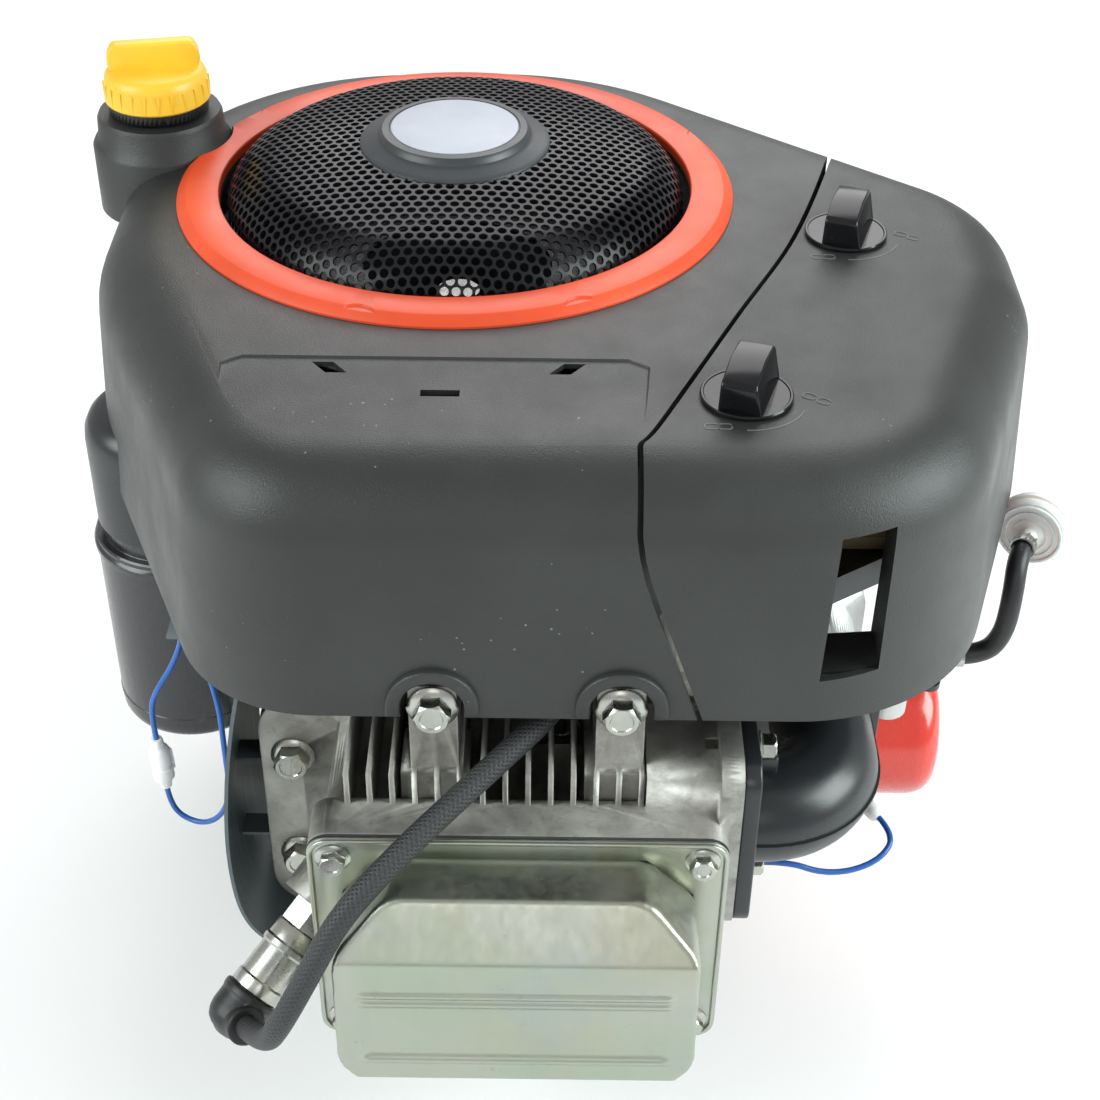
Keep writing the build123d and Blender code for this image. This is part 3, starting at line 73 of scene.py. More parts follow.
# ---- camera ----
CAMERA_PLACE = (0.0446, -0.7714, 0.6659)
CAMERA_PITCH, CAMERA_ROLL = math.radians(37.279), math.radians(0.725)
CAMERA_LENS, CAMERA_SENSOR = 61.04, 36


def make_camera():
    """Camera solved from the photo: it looks along +Y and down by the pitch."""
    forward = Vector((0, math.cos(CAMERA_PITCH), -math.sin(CAMERA_PITCH)))
    right = Vector((1, 0, 0))
    up = Vector((0, math.sin(CAMERA_PITCH), math.cos(CAMERA_PITCH)))
    right_rolled = math.cos(CAMERA_ROLL) * right + math.sin(CAMERA_ROLL) * up
    up_rolled = math.cos(CAMERA_ROLL) * up - math.sin(CAMERA_ROLL) * right
    turn = Matrix((right_rolled, up_rolled, -forward)).transposed().to_4x4()
    data = bpy.data.cameras.new("camera")
    data.sensor_width = CAMERA_SENSOR
    data.lens = CAMERA_LENS
    camera = new_object("camera", data)
    camera.matrix_world = Matrix.Translation(CAMERA_PLACE) @ turn
    bpy.context.scene.camera = camera


make_camera()


# ---- material helpers ----
def fill(tree, node, *ordered, **named):
    """Link or set a node's inputs by place or name; an underscore stands for a space."""
    for key, value in [*enumerate(ordered), *named.items()]:
        socket = node.inputs[key.replace("_", " ") if isinstance(key, str) else key]
        if isinstance(value, bpy.types.NodeSocket):
            tree.links.new(value, socket)
        else:
            socket.default_value = value
    return node


def add_node(tree, kind, *ordered, **named):
    return fill(tree, tree.nodes.new("ShaderNode" + kind), *ordered, **named)


class Paint:
    """A Principled material with short calls for its procedural detail."""

    def __init__(self, name, colour, roughness, metallic=0.0, **sockets):
        self.material = bpy.data.materials.new(name)
        self.material.use_nodes = True
        self.tree = self.material.node_tree
        self.shader = self.tree.nodes["Principled BSDF"]
        fill(self.tree, self.shader, Metallic=metallic, **sockets)
        self.coordinates = self.add("TexCoord").outputs["Object"]
        self.colour = self.constant("RGB", (*colour, 1))
        self.rough = self.constant("Value", roughness)
        self.height = None
        self.soft = None

    def add(self, kind, *ordered, **named):
        return add_node(self.tree, kind, *ordered, **named)

    def constant(self, kind, value):
        output = self.add(kind).outputs[0]
        output.default_value = value
        return output

    def noise(self, scale, detail=4, roughness=0.55, stretch=None, distortion=0.0):
        source = self.coordinates
        if stretch:
            source = self.add("Mapping", Vector=source, Scale=stretch).outputs[0]
        return self.add("TexNoise", Vector=source, Scale=scale, Detail=detail, Roughness=roughness,
                        Distortion=distortion).outputs["Fac"]

    def cells(self, scale):
        return self.add("TexVoronoi", Vector=self.coordinates, Scale=scale).outputs["Distance"]

    def ramp(self, source, low, high, out_low=0.0, out_high=1.0):
        return self.add("MapRange", Value=source, From_Min=low, From_Max=high,
                        To_Min=out_low, To_Max=out_high).outputs[0]

    def maths(self, operation, *sources):
        node = self.add("Math", *sources)
        node.operation = operation
        return node.outputs[0]

    def tint(self, factor, colour):
        """Mix another colour in where factor is high."""
        node = self.add("Mix")
        node.data_type = "RGBA"
        fill(self.tree, node, Factor=factor, A=self.colour, B=(*colour, 1))
        self.colour = node.outputs["Result"]

    def roughen(self, factor, amount):
        """Add amount times factor to the roughness."""
        self.rough = self.maths("ADD", self.rough, self.maths("MULTIPLY", factor, amount))

    def raise_by(self, factor, amount):
        """Add amount millimetres times factor to the bump height."""
        step = self.maths("MULTIPLY", factor, amount)
        self.height = step if self.height is None else self.maths("ADD", self.height, step)

    def round_edges(self, radius):
        """Soften edges in the shading by radius millimetres."""
        node = self.add("Bevel", Radius=radius * MM)
        node.samples = 4
        self.soft = node.outputs[0]

    def done(self):
        """Link the gathered colour, roughness and bump to the shader."""
        bump = self.add("Bump", Strength=1.0, Distance=MM, Height=self.height)
        if self.soft:
            fill(self.tree, bump, Normal=self.soft)
        fill(self.tree, self.shader, Base_Color=self.colour, Roughness=self.rough, Normal=bump.outputs[0])
        return self.material


def moulded(name, colour, roughness, grain, dust=0.0, dust_colour=(0.3, 0.3, 0.28), **sockets):
    """Injection-moulded plastic: fine grain, slow tone changes, and a few pale specks."""
    paint = Paint(name, colour, roughness, **sockets)
    lighter = tuple(min(1.0, c * 1.5 + 0.004) for c in colour)
    paint.tint(paint.ramp(paint.noise(9, 5), 0.42, 0.75), lighter)
    fine = paint.noise(1500, 3, 0.6)
    paint.raise_by(fine, grain)
    paint.tint(paint.ramp(fine, 0.62, 0.85, 0, 0.35), tuple(min(1.0, c * 2.2 + 0.01) for c in colour))
    paint.roughen(paint.ramp(paint.noise(35, 4), 0.3, 0.7, -0.5, 0.5), 0.12)
    if dust:
        specks = paint.maths("LESS_THAN", paint.cells(170),
                             paint.ramp(paint.noise(14, 2), 0.45, 0.75, 0.0, 0.11))
        paint.tint(paint.maths("MULTIPLY", specks, dust), dust_colour)
        scuffs = paint.ramp(paint.noise(60, 8, 0.75, (1, 0.4, 1), 2.0), 0.68, 0.78, 0, dust)
        paint.tint(scuffs, dust_colour)
    return paint.done()


def cast(name, colour, dark, roughness=0.42, metallic=0.85, grain=0.16, round_by=1.2):
    """Sand-cast or die-cast metal: pitted skin, mottled tone, rounded edges."""
    paint = Paint(name, colour, roughness, metallic)
    paint.tint(paint.ramp(paint.noise(28, 8, 0.7), 0.42, 0.68, 0, 0.75), dark)
    paint.tint(paint.ramp(paint.noise(150, 6, 0.7), 0.55, 0.8, 0, 0.55), tuple(c * 0.35 for c in dark))
    paint.tint(paint.ramp(paint.cells(420), 0.0, 0.14, 0.4, 0.0), tuple(c * 0.2 for c in dark))
    paint.raise_by(paint.noise(330, 6, 0.65), grain)
    paint.raise_by(paint.noise(70, 3), grain * 1.6)
    paint.roughen(paint.ramp(paint.noise(90, 5), 0.35, 0.7), 0.22)
    paint.round_edges(round_by)
    return paint.done()


def sheet_metal(name, colour, roughness, tints=(), metallic=1.0, grain=0.01, **sockets):
    """Rolled or plated steel: fine grain along Z, slow colour shifts, small dark marks."""
    paint = Paint(name, colour, roughness, metallic, **sockets)
    for index, (scale, low, high, amount, tone) in enumerate(tints):
        paint.tint(paint.ramp(paint.noise(scale + index, 4, 0.5, None, 1.0), low, high, 0, amount), tone)
    streak = paint.noise(260, 3, 0.6, (1, 1, 0.08))
    paint.roughen(paint.ramp(streak, 0.3, 0.7, -0.5, 0.5), 0.12)
    paint.raise_by(streak, grain)
    marks = paint.ramp(paint.noise(95, 8, 0.75), 0.64, 0.75, 0, 0.55)
    paint.tint(marks, tuple(c * 0.35 for c in colour))
    return paint.done()


def look(*values, **sockets):
    return values, sockets


DARK_GREY = (0.0175, 0.0195, 0.0185)
LOOKS = {
    moulded: {
        "housing_plastic": look(DARK_GREY, 0.41, 0.2, 0.5),
        "cover_plastic": look(DARK_GREY, 0.41, 0.2, 0.4),
        "mark_plastic": look((0.085, 0.085, 0.082), 0.5, 0.05),
        "ring_plastic": look((0.60, 0.058, 0.011), 0.42, 0.03, 0.12, (0.8, 0.35, 0.25)),
        "cap_plastic": look((0.030, 0.034, 0.038), 0.4, 0.02, 0.2),
        "badge_plastic": look((0.36, 0.38, 0.43), 0.45, 0.01),
        "knob_plastic": look((0.004, 0.004, 0.005), 0.16, 0.004, 0.05, Specular_IOR_Level=0.36),
        "yellow_plastic": look((0.80, 0.47, 0.030), 0.38, 0.02, 0.15, (0.95, 0.8, 0.4)),
        "black_plastic": look((0.014, 0.016, 0.018), 0.30, 0.04, 0.2),
        "gasket_fibre": look((0.03, 0.03, 0.03), 0.8, 0.05),
        "rubber": look((0.010, 0.010, 0.011), 0.42, 0.03, 0.25),
        "white_plastic": look((0.70, 0.70, 0.67), 0.4, 0.02),
        "blue_wire": look((0.015, 0.09, 0.33), 0.3, 0.01),
        "filter_paper": look((0.50, 0.40, 0.22), 0.9, 0.1),
        "filter_plastic": look((0.74, 0.75, 0.71), 0.3, 0.01, Subsurface_Weight=0.2)},
    cast: {
        "casting": look((0.40, 0.40, 0.37), (0.21, 0.20, 0.175)),
        "iron": look((0.16, 0.15, 0.14), (0.08, 0.07, 0.06), 0.55, 0.6),
        "carb_metal": look((0.62, 0.63, 0.62), (0.45, 0.45, 0.43), 0.36, 0.9, 0.05, 0.8)},
    sheet_metal: {
        "screen_paint": look((0.008, 0.008, 0.010), 0.27, (), 0.0, 0.003, Specular_IOR_Level=0.22),
        "zinc": look((0.44, 0.45, 0.42), 0.28, [(60, 0.45, 0.7, 0.5, (0.55, 0.52, 0.40)),
                                                (110, 0.55, 0.75, 0.6, (0.35, 0.36, 0.36))]),
        "steel": look((0.5, 0.5, 0.49), 0.28, [(50, 0.5, 0.75, 0.5, (0.35, 0.34, 0.33))]),
        "dark_steel": look((0.06, 0.06, 0.065), 0.34, (), 0.8),
        "tinted_steel": look((0.42, 0.44, 0.385), 0.36, [(11, 0.42, 0.62, 0.45, (0.34, 0.40, 0.29)),
                                                         (16, 0.5, 0.68, 0.4, (0.42, 0.38, 0.27)),
                                                         (23, 0.55, 0.7, 0.3, (0.32, 0.37, 0.40))],
                             grain=0.006),
        "black_paint": look((0.014, 0.015, 0.017), 0.27, (), 0.0, 0.02, Coat_Weight=0.3),
        "shield_paint": look((0.10, 0.125, 0.135), 0.36, (), 0.2, 0.02),
        "red_paint": look((0.62, 0.035, 0.02), 0.25, (), 0.0, 0.01, Coat_Weight=0.5)},
}
M = {name: make(name, *values, **sockets)
     for make, looks in LOOKS.items() for name, (values, sockets) in looks.items()}


def braided():
    """Woven sleeve: two sets of diagonal strands from the tube's own UVs."""
    paint = Paint("braid", (0.016, 0.017, 0.018), 0.5)
    around, along, _ = paint.add("SeparateXYZ", paint.add("UVMap").outputs[0]).outputs
    strands = []
    for sign in (1, -1):
        total = paint.maths("ADD", paint.maths("MULTIPLY", around, 12 * sign), along)
        strands.append(paint.maths("ABSOLUTE", paint.maths("SINE", paint.maths("MULTIPLY", total, math.pi))))
    weave = paint.maths("MAXIMUM", *strands)
    paint.raise_by(weave, 0.35)
    paint.raise_by(paint.noise(1800, 2), 0.08)
    # painted sheen: the crowns of the strands, where the weave bump is highest, are lighter
    paint.tint(paint.ramp(weave, 0.8, 1.0, 0, 0.5), (0.05, 0.052, 0.054))
    return paint.done()


M["braid"] = braided()


# ---- mesh helpers ----
def coat(obj, material):
    obj.data.materials.clear()
    obj.data.materials.append(M[material])


def finish_mesh(obj, node, material, body="engine", name=None):
    """Name a piece and give it its material; it rides its body and stands for a CAD node."""
    obj.name = obj.data.name = name or node + "_skin"
    coat(obj, material)
    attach(obj, body)
    if node:
        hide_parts(node)


def from_lists(points, faces):
    """Object from points in millimetres and faces of indices."""
    mesh = bpy.data.meshes.new("mesh")
    mesh.from_pydata([Vector(p) * MM for p in points], [], faces)
    mesh.validate()
    return new_object("mesh", mesh)


def outward(obj):
    """Make the normals consistent and outward."""
    net = bmesh.new()
    net.from_mesh(obj.data)
    bmesh.ops.recalc_face_normals(net, faces=net.faces)
    net.to_mesh(obj.data)
    net.free()
    return obj


def loft(rows):
    """Solid between rings of points, with one face over each end."""
    count = len(rows[0])
    last = (len(rows) - 1) * count
    faces = []
    for low in range(0, last, count):
        high = low + count
        for index in range(count):
            after = (index + 1) % count
            faces.append((low + index, low + after, high + after, high + index))
    faces.append(tuple(reversed(range(count))))
    faces.append(tuple(range(last, last + count)))
    return outward(from_lists([p for row in rows for p in row], faces))


def placed(obj, place):
    """Move a mesh by a placement in millimetres; without one it stays."""
    if place is not None:
        obj.data.transform(Matrix.Translation(place.to_translation() * MM) @ place.to_3x3().to_4x4())
    return obj


def lathe(profile, place=None, segments=96, closed=False, base=0.0):
    """Revolve (radius, z over base) pairs about Z; a radius of 0 at either end closes it there."""
    points, rings = [], []
    for radius, z in profile:
        z += base
        if radius < 1e-6:
            rings.append([len(points)])
            points.append((0, 0, z))
            continue
        rings.append(list(range(len(points), len(points) + segments)))
        points += [(radius * math.cos(TAU * i / segments), radius * math.sin(TAU * i / segments), z)
                   for i in range(segments)]
    faces = []
    pairs = list(zip(rings, rings[1:]))
    if closed:
        pairs.append((rings[-1], rings[0]))
    for low, high in pairs:
        for i in range(segments):
            j = (i + 1) % segments
            face = [low[i % len(low)], low[j % len(low)], high[j % len(high)], high[i % len(high)]]
            face = list(dict.fromkeys(face))
            if len(face) > 2:
                faces.append(face)
    return placed(outward(from_lists(points, faces)), place)


def drum(radius, low, high, place=None, segments=96):
    """Cylinder between two levels."""
    return lathe([(0, low), (radius, low), (radius, high), (0, high)], place, segments)


def at(x, y, z):
    return Matrix.Translation((x, y, z))


def pointing(origin, direction):
    """Placement that puts +Z along a direction at an origin, in millimetres."""
    return Matrix.Translation(origin) @ Vector(direction).to_track_quat("Z", "Y").to_matrix().to_4x4()


def prism(outline, low, high, plane="XY"):
    """Solid between two levels of a flat outline; XZ outlines run along Y."""
    def lift(level):
        if plane == "XY":
            return [(x, y, level) for x, y in outline]
        if plane == "XZ":
            return [(x, level, z) for x, z in outline]
        return [(level, y, z) for y, z in outline]
    return loft([lift(low), lift(high)])


def box(x0, x1, y0, y1, z0, z1):
    return prism([(x0, y0), (x1, y0), (x1, y1), (x0, y1)], z0, z1)


def drop(obj):
    data = obj.data
    bpy.data.objects.remove(obj)
    if data.users == 0:
        bpy.data.meshes.remove(data)


def modify(obj, kind, **settings):
    """Add one modifier and apply it."""
    modifier = obj.modifiers.new(kind, kind)
    for name, value in settings.items():
        setattr(modifier, name, value)
    graph = bpy.context.evaluated_depsgraph_get()
    mesh = bpy.data.meshes.new_from_object(obj.evaluated_get(graph))
    obj.modifiers.clear()
    obj.data = mesh
    return obj


def cut(obj, cutter, operation="DIFFERENCE"):
    modify(obj, "BOOLEAN", operation=operation, object=cutter, solver="EXACT")
    drop(cutter)
    return obj


def thicken(obj, thickness):
    """Give a sheet its thickness, inwards."""
    return modify(obj, "SOLIDIFY", thickness=thickness * MM, offset=-1)


def melt(obj, voxel, rounds):
    """One soft skin over what overlaps."""
    modify(obj, "REMESH", mode="VOXEL", voxel_size=voxel * MM)
    return modify(obj, "SMOOTH", iterations=rounds)


def joined(*objs):
    """One object from several, without merging their surfaces."""
    net = bmesh.new()
    for obj in objs:
        net.from_mesh(obj.data)
    mesh = bpy.data.meshes.new("mesh")
    net.to_mesh(mesh)
    net.free()
    for obj in objs[1:]:
        drop(obj)
    objs[0].data = mesh
    return objs[0]


def copy_of(obj, place=None):
    return placed(new_object("mesh", obj.data.copy()), place)


def bevel(obj, width, segments=3, angle=30):
    return modify(obj, "BEVEL", width=width * MM, segments=segments, limit_method="ANGLE",
                  angle_limit=math.radians(angle), use_clamp_overlap=True)


def smooth(obj, angle=40):
    for face in obj.data.polygons:
        face.use_smooth = True
    obj.data.set_sharp_from_angle(angle=math.radians(angle))
    return obj


def arc(radius, start, end, steps, centre=(0.0, 0.0)):
    """Points on an arc, angles in degrees."""
    angles = [math.radians(start + (end - start) * i / steps) for i in range(steps + 1)]
    return [(centre[0] + radius * math.cos(a), centre[1] + radius * math.sin(a)) for a in angles]


def polar(radius, angle):
    """Point at a radius and an angle in degrees."""
    return radius * math.cos(math.radians(angle)), radius * math.sin(math.radians(angle))


def rounded_rectangle(x0, x1, z0, z1, radius, steps=8):
    """Outline from the upper right corner on, against the clock."""
    left, right, low, high = x0 + radius, x1 - radius, z0 + radius, z1 - radius
    centres = ((right, high), (left, high), (left, low), (right, low))
    return [p for number, centre in enumerate(centres)
            for p in arc(radius, 90 * number, 90 * number + 90, steps, centre)]


def rounded_outline(corners, step_angle):
    """Points and outward normals round a polygon whose corners are tangent arcs."""
    result = []
    count = len(corners)
    for i in range(count):
        x, y, radius = corners[i]
        here = Vector((x, y))
        before = (Vector(corners[i - 1][:2]) - here).normalized()
        after = (Vector(corners[(i + 1) % count][:2]) - here).normalized()
        half = before.angle(after) / 2
        centre = here + (before + after).normalized() * (radius / math.sin(half))
        start = -Vector((-before.y, before.x))
        end = Vector((-after.y, after.x))
        if (start.dot(centre - here)) > 0:
            start, end = -start, -end
        a0 = math.atan2(start.y, start.x)
        a1 = math.atan2(end.y, end.x)
        while a1 - a0 > math.pi:
            a1 -= TAU
        while a1 - a0 < -math.pi:
            a1 += TAU
        steps = max(3, int(abs(math.degrees(a1 - a0)) / step_angle))
        for k in range(steps + 1):
            a = a0 + (a1 - a0) * k / steps
            normal = Vector((math.cos(a), math.sin(a)))
            result.append((centre + normal * radius, normal))
    return result


# ---- shroud: blower housing and air cleaner cover ----
BOTTOM, TOP, FRONT = 179.0, 284.0, 239.0
DRAFT, ROUND, WALL = 7.0, 32.0, 3.0
NECK = (-140.5, 46.0)
NECK_TOP = 300.0
STARTER = (-133.09, -57.04)
PADS = (0.0, 73.0)
PAD_Z = 181.0
SHROUD_CORNERS = ((-86, -FRONT, 62), (201, -FRONT, 85), (255, -76, 60), (256, 6, 80), (65, 163, 148),
                  (-165, 149, 140), (-162, -60, 150))
REAR_REACH = 177.0
REAR_ANGLES = (60, 110)
SHROUD = rounded_outline(SHROUD_CORNERS, 4.0)


def shroud_body(inset):
    """Drafted solid of the whole shroud with its rounded top edge, smaller by inset."""
    top = TOP - inset
    radius = ROUND - inset
    tilt = math.atan(DRAFT / (top - BOTTOM))
    centre_z = top - radius
    centre_in = DRAFT * (centre_z - BOTTOM) / (top - BOTTOM) + radius / math.cos(tilt)
    profile = [(0.0, BOTTOM - (2 if inset else 0)), (DRAFT * 0.3, BOTTOM + 0.3 * (top - BOTTOM))]
    steps = 14
    for k in range(steps + 1):
        a = tilt + (math.pi / 2 - tilt) * k / steps
        profile.append((centre_in - radius * math.cos(a), centre_z + radius * math.sin(a)))
    profile.append((centre_in + 1.5, top))
    return loft([[(*(p - n * (inset + d)), z) for p, n in SHROUD] for d, z in profile])


SEAM = ((76, -206), (84, -191), (118, -112), (147.5, -44), (171, 34), (176, 66))
SEAM_STEPS = 10


def seam_line(shift):
    """Smooth line through the seam's points."""
    points = [Vector(p) for p in SEAM]
    slopes = []
    for i in range(len(points)):
        low, high = max(0, i - 1), min(len(points) - 1, i + 1)
        slopes.append((points[high] - points[low]) / (high - low))
    slopes[0] = Vector((0.25, 1)).normalized() * 17
    slopes[-1] = Vector((0.15, 1)).normalized() * 100
    line = []
    for i in range(len(points) - 1):
        for k in range(SEAM_STEPS if i < len(points) - 2 else SEAM_STEPS + 1):
            t = k / SEAM_STEPS
            a, b, m, n = points[i], points[i + 1], slopes[i], slopes[i + 1]
            p = (2 * t ** 3 - 3 * t * t + 1) * a + (t ** 3 - 2 * t * t + t) * m
            p += (3 * t * t - 2 * t ** 3) * b + (t ** 3 - t * t) * n
            line.append((p.x + shift, p.y))
    return line


def cover_side(shift):
    """Solid that holds everything right of the seam."""
    far = 320.0
    plan = seam_line(shift) + [(172 + shift, 140), (far, 140), (far, -206)]
    region = prism(plan, BOTTOM - 20, TOP + 60)
    edge = [(76, TOP + 60), (76, 262), (77.5, 252), (80, 242), (84, 230), (92.5, 206), (101, 182), (109, 159)]
    front = prism([(x + shift, z) for x, z in edge] + [(far, 159), (far, TOP + 60)], -266, -205.9, "XZ")
    return cut(region, front, "UNION")


def notch_outline(x, radius, bottom):
    """Outline of a slot with a round top, open below."""
    points = arc(radius, 0, 180, 20, (x, PAD_Z + 3))
    return points + [(x - radius, bottom), (x + radius, bottom)]


def make_housing():
    """Shell left of the seam, with its openings, marks, collar, inner wall and rear ears."""
    shell = shroud_body(0)
    cut(shell, shroud_body(WALL))
    cut(shell, cover_side(0))
    opening = drum(106, TOP - 30, TOP + 3, segments=128)
    bore = drum(29, BOTTOM - 5, TOP + 4, at(*NECK, 0), 64)
    starter = drum(39.5, BOTTOM - 5, 206, at(*STARTER, 0), 64)
    cutters = [opening, bore, starter]
    cutters += [prism(notch_outline(x, 12.4, BOTTOM - 6), -FRONT - 8, -FRONT + 26, "XZ") for x in PADS]
    for cutter in cutters:
        cut(shell, cutter)
    slots = []
    for x, y, width, depth, lean in ((-42, -153.2, 8.5, 8, 3), (2, -171.5, 15, 4.6, 0),
                                     (50.5, -152.6, 8.5, 8, -3)):
        w, d = width / 2, depth / 2
        slots.append(prism([(x - w + lean, y - d), (x + w + lean, y - d), (x + w - lean, y + d),
                            (x - w - lean, y + d)],
                           TOP - 10, TOP + 3))
    cut(shell, joined(*slots))
    panel = [(-80, -206), (-84, -152), (-76, -146.5), (74, -146.5), (82, -152), (78, -206)]
    recess = loft([[(x, y, TOP - (0.9 if y > -200 else -0.2)) for x, y in panel],
                   [(x * 1.02, y + (1.2 if y > -200 else 0), TOP + 1.2) for x, y in panel]])
    cut(shell, bevel(recess, 5, 5, 40))
    smooth(shell, 30)
    parts = [shell]
    for x in PADS:
        rim_out = notch_outline(x, 18.2, PAD_Z - 1.6)
        rim_in = notch_outline(x, 12.4, PAD_Z - 4)
        rim = prism(rim_out, -FRONT - 1.3, -FRONT + 9, "XZ")
        cut(rim, prism(rim_in, -FRONT - 9, -FRONT + 20, "XZ"))
        parts.append(smooth(bevel(rim, 1.1, 3, 50)))
    collar = lathe([(29, TOP - 30), (32.5, TOP - 30), (32.5, TOP + 1), (31.5, TOP + 3), (29.6, TOP + 5),
                    (29, NECK_TOP - 2), (28, NECK_TOP), (17.4, NECK_TOP), (16.7, NECK_TOP - 1),
                    (16.7, TOP - 12), (28, TOP - 14)],
                   at(*NECK, 0), 96, True)
    parts.append(smooth(collar))
    wall = [(x - 3.0, y) for x, y in seam_line(0)]
    # the wall behind the seam; past the ring a higher stop closes it, so nothing shows through
    for front, gap, inset in ((-203, 1.0, 0.9), (8, 0.35, 0.35)):
        strip = [p for p in wall if p[1] > front]
        outline = strip + [(x + 2.9, y) for x, y in reversed(strip)]
        partition = prism(outline, BOTTOM + 0.5, TOP - gap)
        parts.append(smooth(cut(partition, shroud_body(inset), "INTERSECT")))
    for angle in REAR_ANGLES:
        way = Vector(polar(1, angle))
        outer, inner = way * REAR_REACH, way * REAR_REACH * 0.87
        plan = arc(9, angle - 90, angle + 90, 20, outer) + arc(12, angle + 90, angle + 270, 12, inner)
        ear = bevel(prism(plan, BOTTOM, BOTTOM + 4), 0.6, 3, 50)
        cut(ear, drum(4.3, BOTTOM - 2, BOTTOM + 6, at(*outer, 0), 40))
        parts.append(smooth(ear))
    finish_mesh(joined(*parts), "blower_housing", "housing_plastic")


KNOBS = ((171.7, -39.6), (118.5, -172.0))
KNOB_TURN = -18
WINDOW = (150.0, 171.0, 199.0, 263.0)


def make_cover():
    """Shell right of the seam, with its window, knob holes and bosses."""
    shell = shroud_body(0)
    cut(shell, shroud_body(WALL))
    cut(shell, cover_side(2.2), "INTERSECT")
    x0, x1, z0, z1 = WINDOW
    # the side of the window slopes with the wall, as a pulled core leaves it
    outline = [(x0 - 2.5, z0 - 1), (x1 - 0.5, z0 + 1), (x1, z1), (x0 + 0.5, z1 - 1.5)]
    frame_box = prism([(x0 - 4, z0 - 2.5), (x1 + 1.5, z0 - 1), (x1 + 1.8, z1 + 1.6), (x0 - 1.4, z1 + 0.5)],
                      -FRONT + 8, -209, "XZ")
    parts_cut = prism(outline, -FRONT - 10, -205, "XZ")
    twin = copy_of(parts_cut)
    cut(shell, parts_cut)
    cut(frame_box, twin)
    cut(frame_box, shroud_body(1), "INTERSECT")
    for x, y in KNOBS:
        cut(shell, drum(4.2, TOP - 12, TOP + 3, at(x, y, 0), 32))
    parts = [smooth(shell, 30), smooth(frame_box, 30)]
    for x, y in KNOBS:
        boss = lathe([(4.05, TOP - 10), (8, TOP - 10), (8, TOP - 2), (4.05, TOP - 2)], at(x, y, 0), 32, True)
        parts.append(smooth(boss))
    finish_mesh(joined(*parts), "air_cleaner_cover", "cover_plastic", "cover")


def strip_line(points, width, height):
    """Shallow raised line through points, as engraved or moulded marks are drawn."""
    rows = []
    for i, p in enumerate(points):
        here = Vector(p[:2])
        ahead = Vector(points[min(i + 1, len(points) - 1)][:2]) - Vector(points[max(i - 1, 0)][:2])
        side = Vector((-ahead.y, ahead.x)).normalized() * width / 2
        base = p[2]
        rows.append([(*(here + side), base - 0.4), (*(here + side * 0.6), base + height),
                     (*(here - side * 0.6), base + height), (*(here - side), base - 0.4)])
    return loft(rows)


def make_knob_marks():
    """Thin moulded arc with a plain shut and open padlock by each knob."""
    for number, (x, y) in enumerate(KNOBS):
        pieces = [strip_line([(px, py, TOP) for px, py in arc(23.2, -94, -24, 16, (x, y))], 0.9, 0.22)]
        for angle, reach, rise in ((-120, 24.0, 0.0), (-2, 26.5, 1.7)):
            dx, dy = polar(reach, angle)
            cx, cy = x + dx, y + dy
            for side in (-1, 1):
                link = rounded_rectangle(-2.7, 2.7, -1.8, 1.8, 1.7, 4)
                lean = -0.28 * rise
                points = [(cx + side * 2.5 + px * math.cos(lean) - py * math.sin(lean),
                           cy - side * rise + px * math.sin(lean) + py * math.cos(lean),
                           TOP) for px, py in link]
                pieces.append(strip_line(points + points[:2], 0.8, 0.22))
        finish_mesh(joined(*pieces), None, "mark_plastic", "cover", f"knob_marks_{number + 1}")


# ---- ring, screen and cap ----
def make_ring():
    low, high = TOP, TOP + 4.5
    profile = [(106, low), (125, low), (125, low + 0.9), (124.4, low + 1.5), (121.2, high - 0.35),
               (120.4, high), (107.2, high), (106.4, high - 0.3), (106, high - 1)]
    ring = lathe(profile, None, 220, True)
    gap = drum(33.2, low - 2, NECK_TOP, at(*NECK, 0), 64)
    cut(ring, gap)
    marks = []
    for angle in (-106, -63, 24, 146):
        x, y = polar(126.5, angle)
        marks.append(lathe([(0, high - 1.0), (8.2, high - 1.0), (9.4, high + 2), (0, high + 2)],
                           at(x, y, 0), 40))
    cut(ring, joined(*marks))
    smooth(ring, 24)
    finish_mesh(ring, "trim_ring", "ring_plastic")


SCREEN_R, SCREEN_TOP = 103.0, 309.0


def screen_profile():
    """Dense (radius, z) line of the pressed sheet from the axis to the foot of the skirt."""
    flat = SCREEN_R - 22
    bend = flat ** 2 / 14
    line = [(r, SCREEN_TOP - r * r / (2 * bend)) for r in range(0, int(flat) + 1, 3)]
    z0, slope = SCREEN_TOP - 7, -flat / bend
    steps = 14
    for k in range(1, steps + 1):
        t = k / steps
        r = flat + (SCREEN_R - flat) * math.sin(t * math.pi / 2)
        z = z0 + slope * (r - flat) * (1 - t) - (z0 - (TOP - 4)) * (1 - math.cos(t * math.pi / 2))
        line.append((r, z))
    line.append((SCREEN_R, 262.0))
    return line


HOLE_PITCH, HOLE_RADIUS = 5.15, 2.02
PLAIN_CENTRE = 33
HALF_ROOT_3 = 0.8660254


